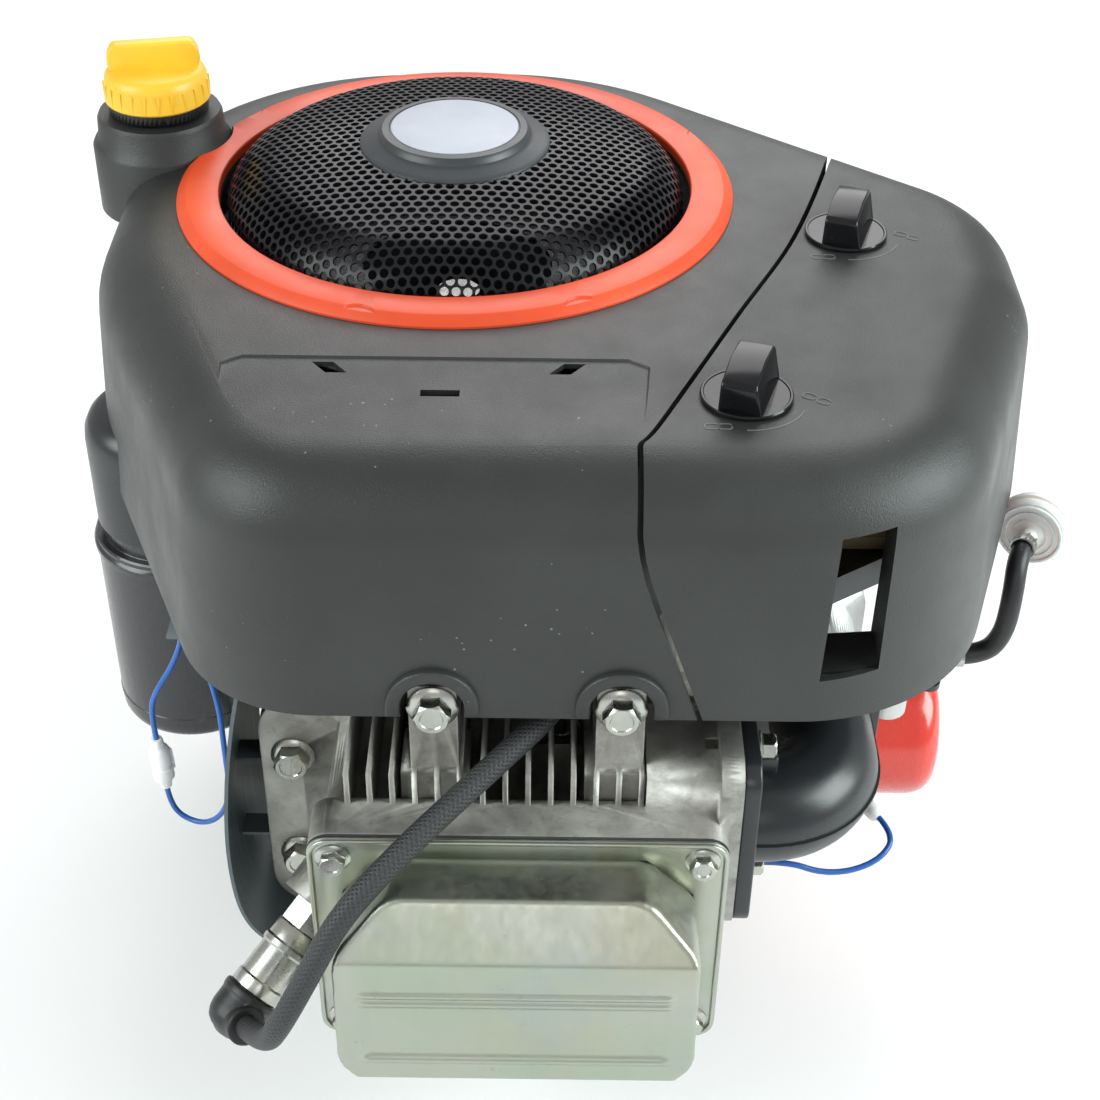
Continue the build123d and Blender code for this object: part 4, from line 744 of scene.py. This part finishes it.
def make_screen():
    """Perforated sheet laid out flat in hexagons, then pressed onto the profile."""
    line = screen_profile()
    lengths = [0.0]
    for a, b in zip(line, line[1:]):
        lengths.append(lengths[-1] + math.dist(a, b))

    def pressed(x, y):
        blank = math.hypot(x, y)
        if blank < 1e-6:
            return (0, 0, SCREEN_TOP)
        i = 0
        while i < len(lengths) - 2 and lengths[i + 1] < blank:
            i += 1
        t = min(1.0, (blank - lengths[i]) / (lengths[i + 1] - lengths[i]))
        r = line[i][0] + t * (line[i + 1][0] - line[i][0])
        z = line[i][1] + t * (line[i + 1][1] - line[i][1])
        return (r * x / blank, r * y / blank, z)

    limit = lengths[-1] - 3
    apothem = HOLE_PITCH / 2
    points, faces, known = [], [], {}

    def vertex(x, y):
        key = (round(x, 3), round(y, 3))
        if key not in known:
            known[key] = len(points)
            points.append(pressed(x, y))
        return known[key]

    rows = int(limit / (HOLE_PITCH * HALF_ROOT_3)) + 2
    for row in range(-rows, rows + 1):
        for column in range(-rows - 2, rows + 3):
            x = column * HOLE_PITCH + (apothem if row % 2 else 0)
            y = row * HOLE_PITCH * HALF_ROOT_3
            if not PLAIN_CENTRE <= math.hypot(x, y) <= limit:
                continue
            rim, edge = [], []
            for k in range(12):
                a = TAU * k / 12 + math.pi / 6
                reach = apothem / HALF_ROOT_3 if k % 2 == 0 else apothem
                edge.append(vertex(x + reach * math.cos(a), y + reach * math.sin(a)))
                rim.append(vertex(x + HOLE_RADIUS * math.cos(a), y + HOLE_RADIUS * math.sin(a)))
            for k in range(12):
                j = (k + 1) % 12
                faces.append((edge[k], edge[j], rim[j], rim[k]))
    sheet = outward(from_lists(points, faces))
    if sum(face.normal.z * face.area for face in sheet.data.polygons) < 0:
        sheet.data.flip_normals()
    smooth(thicken(sheet, 1.2), 50)
    band = lathe([(SCREEN_R, 246), (SCREEN_R, 264.5), (SCREEN_R - 1.2, 264.5), (SCREEN_R - 1.2, 246)], None,
                 160, True)
    # painted shade: the inner ring is a near-black sheet under the perforated screen, standing in for the
    # shade inside the housing
    inner = lathe([(44, 242.2), (SCREEN_R - 0.6, 242.2), (SCREEN_R, 243.2), (SCREEN_R, 246),
                   (SCREEN_R - 1.2, 246), (44, 245)], None, 120, True)
    middle = lathe([(36, SCREEN_TOP - 2.6), (36, SCREEN_TOP - 1.4), (0, SCREEN_TOP - 0.1),
                    (0, SCREEN_TOP - 1.3)], None, 64)
    parts = joined(sheet, smooth(band), smooth(inner), smooth(middle))
    finish_mesh(parts, "screen", "screen_paint", "crank", name="screen_mesh")


def make_cap():
    """Domed disc with a sloping shoulder, a low step and a shallow seat for the blank badge."""
    disc = lathe([(0, -1.5), (42.0, -3.6), (42.6, -2.6), (42.2, -1.2), (40.6, -0.2), (35.2, 1.2),
                  (34.0, 2.0), (33.2, 4.0), (32.2, 4.9), (29.2, 5.3), (28.8, 4.9), (0, 4.9)],
                 segments=128, base=SCREEN_TOP)
    finish_mesh(smooth(disc, 30), "screen_cap", "cap_plastic", "crank", name="screen_cap_disc")
    badge = lathe([(0, 4.8), (28.2, 4.8), (28.2, 5.25), (27.8, 5.4), (0, 5.4)], base=SCREEN_TOP)
    finish_mesh(smooth(badge, 30), None, "badge_plastic", "crank", "blank_badge")


# ---- knobs and dipstick cap ----
def make_knob(node, body, x, y):
    """Quarter-turn knob: a thin flush disc and a broad wedge grip with an upright front."""
    base = lathe([(0, 0.4), (17.5, 0.4), (17.9, 0.8), (17.9, 1.5), (17.4, 2.0), (16.7, 2.0),
                  (16.3, 1.7), (0, 1.5)], base=TOP)
    side = [(-15.4, 1.0), (-15.0, 12.4), (-13.6, 14.0), (-1.5, 17.2), (13.4, 16.4), (14.6, 15.2), (15.8, 1.0)]
    # the top is a broad flat slope; the right flank runs out to a foot, the left one is upright
    rows = []
    for low_half, high_half in ((-7.6, -7.2), (9.4, 6.6)):
        rows.append([(low_half if z < 5 else high_half, y0, TOP + z) for y0, z in side])
    grip = bevel(loft(rows), 0.9, 4, 25)
    shaft = drum(4, 200.6, TOP + 2, None, 32)
    knob = joined(smooth(base, 35), smooth(grip), smooth(shaft))
    placed(knob, at(x, y, 0) @ Matrix.Rotation(math.radians(KNOB_TURN), 4, "Z"))
    finish_mesh(knob, node, "knob_plastic", body, body + "_skin")


def make_dipstick_cap():
    """Ribbed cap with a low wing across it, rounded at both ends."""
    low = NECK_TOP + 6.3
    cap = lathe([(0, 0), (23.8, 0), (24.4, 0.8), (23.6, 9.5), (23.0, 12.4), (21.6, 14.2), (19.5, 14.9),
                 (0, 15.1)], base=low)
    outline = [(-19.6, 13.5), (-21.2, 18.0)]
    outline += arc(9.5, 172, 90, 8, (-11.5, 19.8)) + arc(9.5, 90, 8, 8, (11.5, 19.8))
    outline += [(21.2, 18.0), (19.6, 13.5)]
    grip = prism([(x, low + min(z, 27.0)) for x, z in outline], -3.6, 3.6, "XZ")
    bevel(grip, 1.3, 4, 28)
    ribs = []
    for number in range(24):
        rib = box(23.0, 24.4, -0.7, 0.7, low + 1.0, low + 9.5)
        ribs.append(smooth(bevel(placed(rib, Matrix.Rotation(TAU * number / 24, 4, "Z")), 0.4, 2, 30)))
    pin = drum(3.9, NECK_TOP + 2, low + 1, None, 24)
    whole = joined(smooth(cap, 35), smooth(grip), smooth(pin), *ribs)
    placed(whole, at(*NECK, 0) @ Matrix.Rotation(math.radians(12), 4, "Z"))
    finish_mesh(whole, "dipstick_cap", "yellow_plastic", "dipstick_cap")


# ---- bolts ----
def bolt_mesh(across, head, flange_radius, flange, shank_radius, shank):
    """Flanged hex bolt along +Z, head above Z = 0, with a chamfered and slightly dished head."""
    corner = across / math.sqrt(3)
    hexagon = prism([(corner * math.cos(TAU * k / 6), corner * math.sin(TAU * k / 6)) for k in range(6)],
                    0.2, flange + head)
    top = flange + head
    dome = lathe([(0, -1), (corner + 1, -1), (corner + 1, top - 1.6), (corner, top - 1.25),
                  (across / 2 - 0.2, top), (0, top)], None, 48)
    cut(hexagon, dome, "INTERSECT")
    dish = lathe([(0, top - 0.5), (across / 2 - 2.2, top - 0.5), (across / 2 - 1.5, top + 0.3),
                  (0, top + 0.3)], None, 32)
    cut(hexagon, dish)
    base = lathe([(0, 0), (flange_radius, 0), (flange_radius, flange * 0.5),
                  (flange_radius - 0.5, flange * 0.75), (corner * 0.95, flange * 1.35), (0, flange * 1.35)],
                 None, 48)
    body = lathe([(0, -shank), (shank_radius - 0.6, -shank), (shank_radius, -shank + 0.8),
                  (shank_radius, 0.4), (0, 0.4)], None, 24)
    return joined(smooth(hexagon, 30), smooth(base, 35), smooth(body, 35))


def make_bolts(node, places, *size):
    first = bolt_mesh(*size)
    random.seed(len(node + "_skin"))
    twins = [copy_of(first, place @ Matrix.Rotation(random.uniform(0, TAU), 4, "Z")) for place in places]
    drop(first)
    finish_mesh(joined(*twins), node, "zinc")


FRONT_FACING = Matrix.Rotation(math.radians(90), 4, "X")
RIGHT_FACING = Matrix.Rotation(math.radians(90), 4, "Y")


def make_all_bolts():
    rear = [at(*polar(REAR_REACH, angle), BOTTOM + 4) for angle in REAR_ANGLES]
    make_bolts("housing_bolts", [at(x, -235, PAD_Z) @ FRONT_FACING for x in PADS] + rear,
               13.0, 6.6, 10.2, 1.9, 4, 24)
    heads = [(-66, 43), (-66, 103), (-8, 129), (50, 129), (-8, 16), (50, 16)]
    make_bolts("head_bolts", [at(x, -181, z) @ FRONT_FACING for x, z in heads],
               13.5, 7, 9.6, 1.7, 4.4, 30)
    screws = [(-39.5, 123.5), (106.5, 123.5), (-39.5, 27.5), (106.5, 27.5)]
    make_bolts("rocker_cover_screws", [at(x, COVER_BACK, z) @ FRONT_FACING for x, z in screws],
               9.6, 4.5, 7.2, 1.3, 3, 12)
    make_bolts("manifold_bolts", [at(PORT[0] + 7, PORT[1], z) @ RIGHT_FACING for z in PORT_BOLTS_Z],
               9.6, 6, 7.0, 1.4, 3, 14)


# ---- rocker cover ----
COVER_X = (-38.0, 105.0)
COVER_Z = (26.0, 125.0)
COVER_BACK = -260.6
COVER_FRONT = -302.0


def clipped_rectangle(x0, x1, z0, z1, corner):
    """Rectangle with its four corners cut off at 45 degrees."""
    return [(x1, z1 - corner), (x1 - corner, z1), (x0 + corner, z1), (x0, z1 - corner), (x0, z0 + corner),
            (x0 + corner, z0), (x1 - corner, z0), (x1, z0 + corner)]


def make_rocker_cover():
    x0, x1 = COVER_X
    z0, z1 = COVER_Z
    side = [(COVER_BACK + 3, z0), (COVER_BACK + 3, z1), (COVER_FRONT + 18, z1), (COVER_FRONT + 4, z1 - 22),
            (COVER_FRONT, z0 + 14), (COVER_FRONT + 14, z0)]
    block = prism(side, x0, x1, "YZ")
    column = prism(clipped_rectangle(x0, x1, z0, z1, 20), COVER_BACK + 3, COVER_FRONT - 5, "XZ")
    bevel(column, 6, 5, 30)
    cut(block, column, "INTERSECT")
    melt(block, 1.0, 16)

    def step(value, low, high):
        t = max(0.0, min(1.0, (value - low) / (high - low)))
        return t * t * (3 - 2 * t)

    def press(p, level, half, depth):
        """Height of a rounded bead along X at a level."""
        reach = min(p.x - (x0 + 8), (x1 - 8) - p.x)
        end = step(reach, 0, 5)
        off = abs(p.z - level) / half
        return depth * end * (1 - off * off) ** 2 if off < 1 else 0.0

    for vertex in block.data.vertices:
        p = vertex.co / MM
        if p.y > -288:
            continue
        front = step(-p.y, 288, 295)
        push = press(p, 87.0, 2.2, 1.1) + press(p, 82.6, 2.2, 1.1) + press(p, 51.0, 2.4, 1.2)
        upright = step(p.z, 52.5, 55.5) * (1 - step(p.z, 78.5, 81.5))
        band = upright * step(p.x, x0 + 9, x0 + 14) * (1 - step(p.x, x1 - 14, x1 - 9))
        push -= 0.7 * band
        vertex.co.y -= push * front * MM
        vertex.co.y = max(vertex.co.y, -302.5 * MM)
    net = bmesh.new()
    net.from_mesh(block.data)
    back = [f for f in net.faces if f.normal.y > 0.9 and f.calc_center_median().y > (COVER_BACK + 1.5) * MM]
    bmesh.ops.delete(net, geom=back, context="FACES")
    net.to_mesh(block.data)
    net.free()
    thicken(block, 1.3)
    cut(block, box(-60, 130, COVER_BACK + 1.0, COVER_BACK + 10, 0, 140))
    smooth(block, 60)
    outer = rounded_rectangle(-50, 117, 17, 134, 9)
    plate = prism(outer, COVER_BACK + 1.6, COVER_BACK, "XZ")
    cut(plate, prism(clipped_rectangle(x0 + 1.6, x1 - 1.6, z0 + 1.6, z1 - 1.6, 19), -250, -270, "XZ"))
    bevel(plate, 0.5, 2, 40)
    # raised rim pressed round the flange's edge
    rim = prism(rounded_rectangle(-49.6, 116.6, 17.4, 133.6, 8.6), -260.4, -261.8, "XZ")
    cut(rim, prism(rounded_rectangle(-47.8, 114.8, 19.2, 131.8, 7), -250, -270, "XZ"))
    bevel(rim, 0.6, 3, 40)
    finish_mesh(joined(block, smooth(plate), smooth(rim, 50)), "rocker_cover", "tinted_steel")


# ---- ignition side ----
PLUG_SEAT = Vector((-52, -234, 65))
PLUG_WAY = Vector((-0.58726, -0.62180, -0.51817))
LEAD_END = Vector((-77.88, -279.33, 42.01))
BOOT_NOSE = Vector((0.5007, -0.7510, 0.4306))


def along_plug(distance):
    return PLUG_SEAT + PLUG_WAY * distance


def make_plug_pieces():
    place = pointing(PLUG_SEAT, PLUG_WAY)
    tube = lathe([(9.3, 12), (10.2, 12), (10.5, 12.6), (10.5, 19.2), (11.3, 20.2), (11.3, 22.4),
                  (10.5, 23.4), (10.5, 37.5), (11.1, 38.4), (11.1, 43.2), (10.7, 43.9), (9.6, 43.9),
                  (9.3, 43.2)], place, 64, True)
    # folded seam along the tube
    seam = box(10.2, 12.4, -0.9, 0.9, 14, 42)
    bevel(seam, 0.5, 2)
    placed(seam, place @ Matrix.Rotation(math.radians(-60), 4, "Z"))
    finish_mesh(joined(smooth(tube, 30), smooth(seam)), "plug_shield", "zinc")
    body = lathe([(0, 44.1), (12.2, 44.1), (12.6, 44.9), (12.6, 47.4), (12.0, 48.2), (12.0, 55),
                  (11.3, 58.5), (9.6, 61.5), (6.8, 63.4), (3.4, 64.0), (0, 64.1)], place, 64)
    nose_place = pointing(along_plug(56), BOOT_NOSE)
    nose = lathe([(0, -4), (9.5, -2), (9.0, 4), (8.1, 9), (7.9, 11.6), (8.3, 12.2), (8.3, 13.6),
                  (7.8, 14.0), (0, 14.0)], nose_place, 48)
    boot = joined(body, nose)
    melt(boot, 0.55, 5)
    finish_mesh(smooth(boot, 80), "plug_boot", "rubber")


def spline_curve(name, route, resolution):
    """NURBS curve whose control points are the route."""
    curve = bpy.data.curves.new(name, "CURVE")
    curve.dimensions = "3D"
    spline = curve.splines.new("NURBS")
    spline.points.add(len(route) - 1)
    for point, p in zip(spline.points, route):
        point.co = (*(Vector(p) * MM), 1)
    spline.order_u = 3
    spline.use_endpoint_u = True
    spline.resolution_u = resolution
    return curve


def spline_points(route, resolution):
    """Points in metres along the curve of a route."""
    obj = new_object("route", spline_curve("route", route, resolution))
    mesh = bpy.data.meshes.new_from_object(obj)
    points = [v.co.copy() for v in mesh.vertices]
    bpy.data.objects.remove(obj)
    return points


def tube_mesh(points, diameter, segments, turns_per_length):
    """Tube along points in metres, with a UV map: U once round, V in units of the pitch."""
    radius = diameter / 2 * MM
    normal = (points[1] - points[0]).orthogonal().normalized()
    rows, travelled = [], [0.0]
    for i, here in enumerate(points):
        ahead = points[min(i + 1, len(points) - 1)] - points[max(i - 1, 0)]
        ahead.normalize()
        normal = (normal - ahead * normal.dot(ahead)).normalized()
        other = ahead.cross(normal)
        angles = [TAU * k / segments for k in range(segments)]
        rows.append([(here + (normal * math.cos(a) + other * math.sin(a)) * radius) / MM for a in angles])
        if i:
            travelled.append(travelled[-1] + (here - points[i - 1]).length)
    obj = loft(rows)
    layer = obj.data.uv_layers.new(name="UVMap")
    for face in obj.data.polygons:
        wraps = len(face.vertices) == 4 and max(v % segments for v in face.vertices) == segments - 1
        for corner in face.loop_indices:
            row, k = divmod(obj.data.loops[corner].vertex_index, segments)
            u = 1.0 if wraps and k == 0 else k / segments
            layer.data[corner].uv = (u, travelled[row] / MM * turns_per_length)
    return obj


LEAD_ROUTE = ((18, -160, 178), (36, -160, 178), (50, -169, 177), (58, -184, 175), (56, -204, 171),
              (46, -221, 166), (30, -237, 160), (10, -254, 150), (-12, -272, 138), (-34, -290, 122),
              (-47, -298, 97), (-59, -304, 74), (-67.86, -294.35, 50.62),
              tuple(LEAD_END))


def make_lead():
    points = spline_points(LEAD_ROUTE, 14)
    lead = smooth(tube_mesh(points, 10.0, 28, 0.42), 60)
    finish_mesh(lead, "plug_lead", "braid", name="plug_lead_sleeve")


def wire(name, route, diameter, material, node):
    """Round bevelled curve along a route, standing for a CAD node."""
    curve = spline_curve(name, route, 16)
    curve.bevel_depth = diameter / 2 * MM
    curve.bevel_resolution = 5
    curve.use_fill_caps = True
    curve.materials.append(M[material])
    obj = new_object(name, curve)
    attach(obj, "engine")
    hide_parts(node)
    points = spline_points(route, 16)


LEFT_UPPER = ((-113, -155, 160), (-113, -155, 148), (-119, -156, 132), (-128, -158, 118),
              (-131.57, -158.57, 106.98), (-131, -158, 90))
LEFT_LOWER = ((-130, -157, 60), (-129.6, -156.6, 48.01), (-124, -158, 40), (-113, -162, 40),
              (-103, -167, 52), (-98, -170, 70), (-98, -171, 95), (-98, -170, 122), (-103, -166, 142),
              (-103, -166, 160))
RIGHT_OUTER = ((136.4, -222, 83), (148, -222, 83), (161, -223, 78), (175, -221, 77), (188, -216, 80),
               (194.37, -206.73, 84), (189, -196, 84))
RIGHT_INNER = ((180, -178, 84), (175.53, -169.06, 84), (163, -165, 79), (163, -154, 79))
HOSE_ROUTE = ((228, -119, 112), (243, -119, 112), (251, -119, 124), (252, -118, 146),
              (253.7, -108.7, 161.9), (259, -98, 161))


def make_wires():
    for name, route in (("left_wire_upper", LEFT_UPPER), ("left_wire_lower", LEFT_LOWER),
                        ("right_wire_outer", RIGHT_OUTER), ("right_wire_inner", RIGHT_INNER)):
        wire(name, route, 2.6, "blue_wire", name.rpartition("_")[0])
    wire("fuel_hose_skin", HOSE_ROUTE, 9.5, "rubber", "fuel_hose")
    top, low = Vector(LEFT_UPPER[-1]), Vector(LEFT_LOWER[0])
    length = (low - top).length
    shell = lathe([(0, 0), (2.4, 0), (2.8, 1), (3.0, 5), (4.4, 6.5), (4.7, 8), (4.7, 15), (4.1, 15.6),
                   (4.1, 17), (4.8, 17.6), (4.8, 24), (3.2, 26), (2.6, length), (0, length)],
                  pointing(top, low - top), 24)
    tab = box(-2.2, 2.2, 4.2, 5.6, 9, 21)
    placed(bevel(tab, 0.5, 2), pointing(top, low - top))
    finish_mesh(joined(smooth(shell, 35), smooth(tab)), "left_wire_connector", "white_plastic",
                name="left_connector_skin")
    start, end = Vector(RIGHT_OUTER[-1]), Vector(RIGHT_INNER[0])
    length = (end - start).length
    sleeve = lathe([(0, 0), (1.8, 0), (3.2, 1.2), (3.8, 3), (3.9, 9), (3.5, 10.5), (3.9, 12),
                    (3.8, length - 3), (3, length - 1), (1.8, length), (0, length)],
                   pointing(start, end - start), 24)
    finish_mesh(smooth(sleeve), "right_wire_connector", "white_plastic", name="right_sleeve_skin")


# ---- starter ----
STARTER_LUG, STARTER_REACH = 105.1, 144.8
STARTER_TURN = Matrix.Rotation(math.radians(203.2), 4, "Z")


def make_starter():
    x, y = STARTER
    can = lathe([(0, 22), (6, 22), (9, 23), (9, 29.8), (30, 30), (33, 30.1), (35, 30.9), (36.8, 32.6),
                 (37.7, 34.8), (38, 37.5), (38, 41), (38.3, 41.4), (38.3, 43.2), (38, 43.6), (38, 129.5),
                 (39.0, 130.4), (39.2, 131.6), (39.2, 133.8), (38.6, 134.8), (38, 135.4), (38, 137.2),
                 (37.2, 138), (34.2, 138), (34, 138.3), (34, 146), (6, 146), (6, 198), (0, 198)],
                at(x, y, 0), 128)
    smooth(can, 30)
    foot = bevel(box(STARTER_LUG - 18, STARTER_LUG + 12, -25, 25, 138, 145), 1, 2)
    placed(foot, STARTER_TURN)
    finish_mesh(joined(can, smooth(foot)), "starter_motor", "black_paint", name="starter_can")
    cap_low, cap_high = 146.0, 204.0
    cap = lathe([(35.4, cap_low), (36, cap_low + 0.6), (36, 190), (35.4, 195), (33.2, 199.6), (29.6, 202.8),
                 (25, 204), (0, 204), (0, 201), (24, 201), (28.5, 199.6), (31.6, 196.4), (33, 190),
                 (33, cap_low)])
    placed(cap, at(x, y, 0))
    # the cap is open towards the ring gear
    cut(cap, placed(box(60, STARTER_REACH - 8, -40, 40, cap_low + 24, cap_high + 2), STARTER_TURN))
    cut(cap, placed(box(60, STARTER_REACH - 22, -26, 26, cap_low - 1, cap_low + 25), STARTER_TURN))
    finish_mesh(smooth(cap, 32), "starter_drive_cap", "black_plastic", name="starter_cap_skin")


def copy_cad(node):
    """Welded copy of a CAD node's mesh, as a start for a finer piece."""
    source = NODES[node]
    mesh = source.data.copy()
    mesh.transform(source.matrix_world)
    obj = new_object("mesh", mesh)
    net = bmesh.new()
    net.from_mesh(mesh)
    bmesh.ops.remove_doubles(net, verts=net.verts, dist=0.00001)
    net.to_mesh(mesh)
    net.free()
    return obj


# ---- intake side ----
PORT = (122.0, -222.0, 118.0)
PORT_BOLTS_Z = (83, 150)
THROAT = (163.0, 112.0)
CARB_FRONT = -158.0
ELBOW_Z = 115.0
BEND = 30.0


def make_manifold():
    """Round elbow between two flanges, with its parting line and stiffening webs."""
    x_bend, y_bend = THROAT[0] - BEND, PORT[1] + BEND
    centres = [(PORT[0] + 2 + 1.5 * k, PORT[1], 0) for k in range(6)]
    centres += [(x_bend + BEND * math.sin(a), y_bend - BEND * math.cos(a), a)
                for a in [math.pi / 2 * k / 16 for k in range(17)]]
    centres += [(THROAT[0], y_bend + 4 * k, math.pi / 2) for k in range(1, 8)]
    tube_rows, ridge_rows = [], []
    # the ridge is the raised parting line round the outside of the bend
    for x, y, a in centres:
        here, side = Vector((x, y, ELBOW_Z)), Vector((math.sin(a), -math.cos(a), 0))
        tube_rows.append([here + side * 22 * math.cos(b) + Vector((0, 0, 22 * math.sin(b)))
                          for b in [TAU * k / 48 for k in range(48)]])
        ridge_rows.append([here + side * reach + Vector((0, 0, rise))
                           for reach, rise in ((21.5, 0.9), (23.0, 0.6), (23.0, -0.6), (21.5, -0.9))])
    tube, ridge = loft(tube_rows), loft(ridge_rows)
    first = prism(rounded_rectangle(-248.0, -199.0, 70, 158, 11), PORT[0], PORT[0] + 7, "YZ")
    for z in PORT_BOLTS_Z:
        cut(first, drum(3.3, -3, 12, at(PORT[0], PORT[1], z) @ RIGHT_FACING, 24))
    bevel(first, 1.0, 3)
    second = prism(rounded_rectangle(THROAT[0] - 27, THROAT[0] + 27, 86, 138, 10), CARB_FRONT - 6,
                   CARB_FRONT, "XZ")
    bevel(second, 0.8, 3)
    webs = []
    for z in (ELBOW_Z + 24, ELBOW_Z - 25):
        web = box(PORT[0] + 4, PORT[0] + 16, -224, -220, z - 6, z + 6)
        webs.append(smooth(bevel(web, 1.2, 3)))
    whole = joined(smooth(tube), smooth(ridge, 50), smooth(first), smooth(second), *webs)
    finish_mesh(whole, "intake_manifold", "black_plastic")


def make_filters():
    turn = at(142, -84, 41) @ RIGHT_FACING
    can = lathe([(0, 3), (30, 3), (30, 0.2), (36.4, 0), (37.6, 0.8), (38, 2.4), (37.6, 4.2), (36.6, 5),
                 (36.6, 6.5), (37.2, 8.5), (37.4, 78), (37.0, 82), (35.6, 86), (32.6, 89.4), (28, 91.2),
                 (22, 92), (18, 91.6), (12, 90.8), (0, 90.6)], turn, 120)
    finish_mesh(smooth(can, 34), "oil_filter", "red_paint")
    out = Vector(HOSE_ROUTE[-1])
    way = (out - Vector(HOSE_ROUTE[-2])).normalized()
    place = pointing(out, way)
    body = lathe([(0, 0), (2.6, 0), (3.6, 1.2), (3.9, 2.6), (3.9, 6.4), (7, 7.2), (12, 7.8), (15.2, 8.6),
                  (16.4, 10.2), (16.6, 12.2), (17.6, 12.6), (17.8, 13.2), (17.8, 14.4), (17.6, 15),
                  (16.6, 15.4), (16.4, 18), (15.2, 20), (12, 21.2), (7, 21.8), (3.9, 22.4), (3.9, 31),
                  (3.4, 32.6), (2.6, 33.8), (0, 34)], place, 72)
    rings = []
    for radius in (7.5, 11.0, 14.0):
        ring = lathe([(radius - 0.4, 6.9), (radius + 0.4, 6.9), (radius + 0.4, 9.6), (radius - 0.4, 9.6)],
                     place, 64, True)
        rings.append(smooth(ring))
    finish_mesh(joined(smooth(body, 34), *rings), "fuel_filter", "filter_plastic")
    clamps = []
    for base, direction, twist in (((229.2, -119, 112), (1, 0, 0), 30),
                                   (tuple(out - way * 6.2), tuple(way), 120)):
        ring_place = pointing(base, direction) @ Matrix.Rotation(math.radians(twist), 4, "Z")
        band = lathe([(4.9, 0), (5.7, 0), (5.7, 5), (4.9, 5)], ring_place, 48, True)
        clamps.append(smooth(band))
        for low in (-2.4, 1.4):
            ear = bevel(box(4.9, 6.3, low, low + 1.0, 0, 5), 0.3, 2)
            clamps.append(smooth(placed(ear, ring_place)))
    finish_mesh(joined(*clamps), "hose_clamps", "zinc")


# ---- carried-over CAD nodes ----
def refine(node, body, material):
    """Welded, smooth-shaded copy that stands for a CAD node of the right shape."""
    finish_mesh(smooth(copy_cad(node), 32), node, material, body)


REFINED = {"cylinder_head", "cylinder_block", "carburetor", "sump", "cylinder_shield", "throttle_lever",
           "oil_fill_tube", "dipstick", "carburetor_bowl", "cooling_fan", "flywheel", "ring_gear",
           "choke_lever"}
slots = {part["node"]: part["material_slot"] for part in frame["record"]["subparts"]}
owner = {node: body for body, nodes in frame["record"]["behaviour"]["bodies"].items() for node in nodes}

make_housing()
make_cover()
make_knob_marks()
make_ring()
make_screen()
make_cap()
make_knob("rear_cover_knob", "rear_knob", *KNOBS[0])
make_knob("front_cover_knob", "front_knob", *KNOBS[1])
make_dipstick_cap()
make_all_bolts()
make_rocker_cover()
make_plug_pieces()
make_lead()
make_wires()
make_starter()
make_manifold()
make_filters()

for node in [name for name, obj in NODES.items() if not obj.hide_render]:
    if node in REFINED:
        refine(node, owner[node], slots[node])
    else:
        coat(NODES[node], slots[node])


# ---- floor, lights and world ----
FLOOR_REACH, FLOOR_GAP = 40.0, 0.001
LIGHT_TARGET = Vector((0.03, -0.1, 0.15))
# name, place, size in metres, power in watts, colour
LAMPS = (("key", (-1.25, -0.75, 0.95), 1.0, 21.0, (0.93, 1.0, 0.99)),
         ("fill", (1.35, -0.45, 0.80), 0.9, 25.0, (0.90, 1.0, 0.99)),
         ("back", (0.1, 1.3, 1.35), 1.3, 16.0, (1.0, 0.99, 1.0)),
         ("front", (0.03, -1.5, 0.68), 0.5, 1.6, (1.0, 1.0, 1.0)))


def make_stage():
    low, reach = CAD_BOX[0].z - FLOOR_GAP, FLOOR_REACH
    mesh = bpy.data.meshes.new("floor")
    corners = [(-reach, -reach, low), (reach, -reach, low), (reach, reach, low), (-reach, reach, low)]
    mesh.from_pydata(corners, [], [(0, 1, 2, 3)])
    floor = new_object("floor", mesh)
    material = bpy.data.materials.new("floor")
    material.use_nodes = True
    shader = material.node_tree.nodes["Principled BSDF"]
    fill(material.node_tree, shader, Base_Color=(0.86, 0.86, 0.86, 1), Roughness=0.8)
    mesh.materials.append(material)
    for name, place, size, power, tone in LAMPS:
        data = bpy.data.lights.new(name, "AREA")
        data.size = size
        data.energy = power
        data.color = tone
        lamp = new_object(name, data)
        lamp.location = place
        lamp.rotation_euler = (LIGHT_TARGET - Vector(place)).to_track_quat("-Z", "Y").to_euler()
    world = bpy.data.worlds.new("world")
    bpy.context.scene.world = world
    world.use_nodes = True
    tree = world.node_tree
    # the background is white where the camera sees it and dimmer as a light
    path = add_node(tree, "LightPath").outputs
    seen = add_node(tree, "Math", path["Is Camera Ray"], path["Is Transmission Ray"])
    seen.operation = "MAXIMUM"
    level = add_node(tree, "MapRange", Value=seen.outputs[0], To_Min=0.55, To_Max=1.0)
    fill(tree, tree.nodes["Background"], Color=(1, 1, 1, 1), Strength=level.outputs[0])


make_stage()
bpy.context.scene.view_settings.view_transform = "Standard"
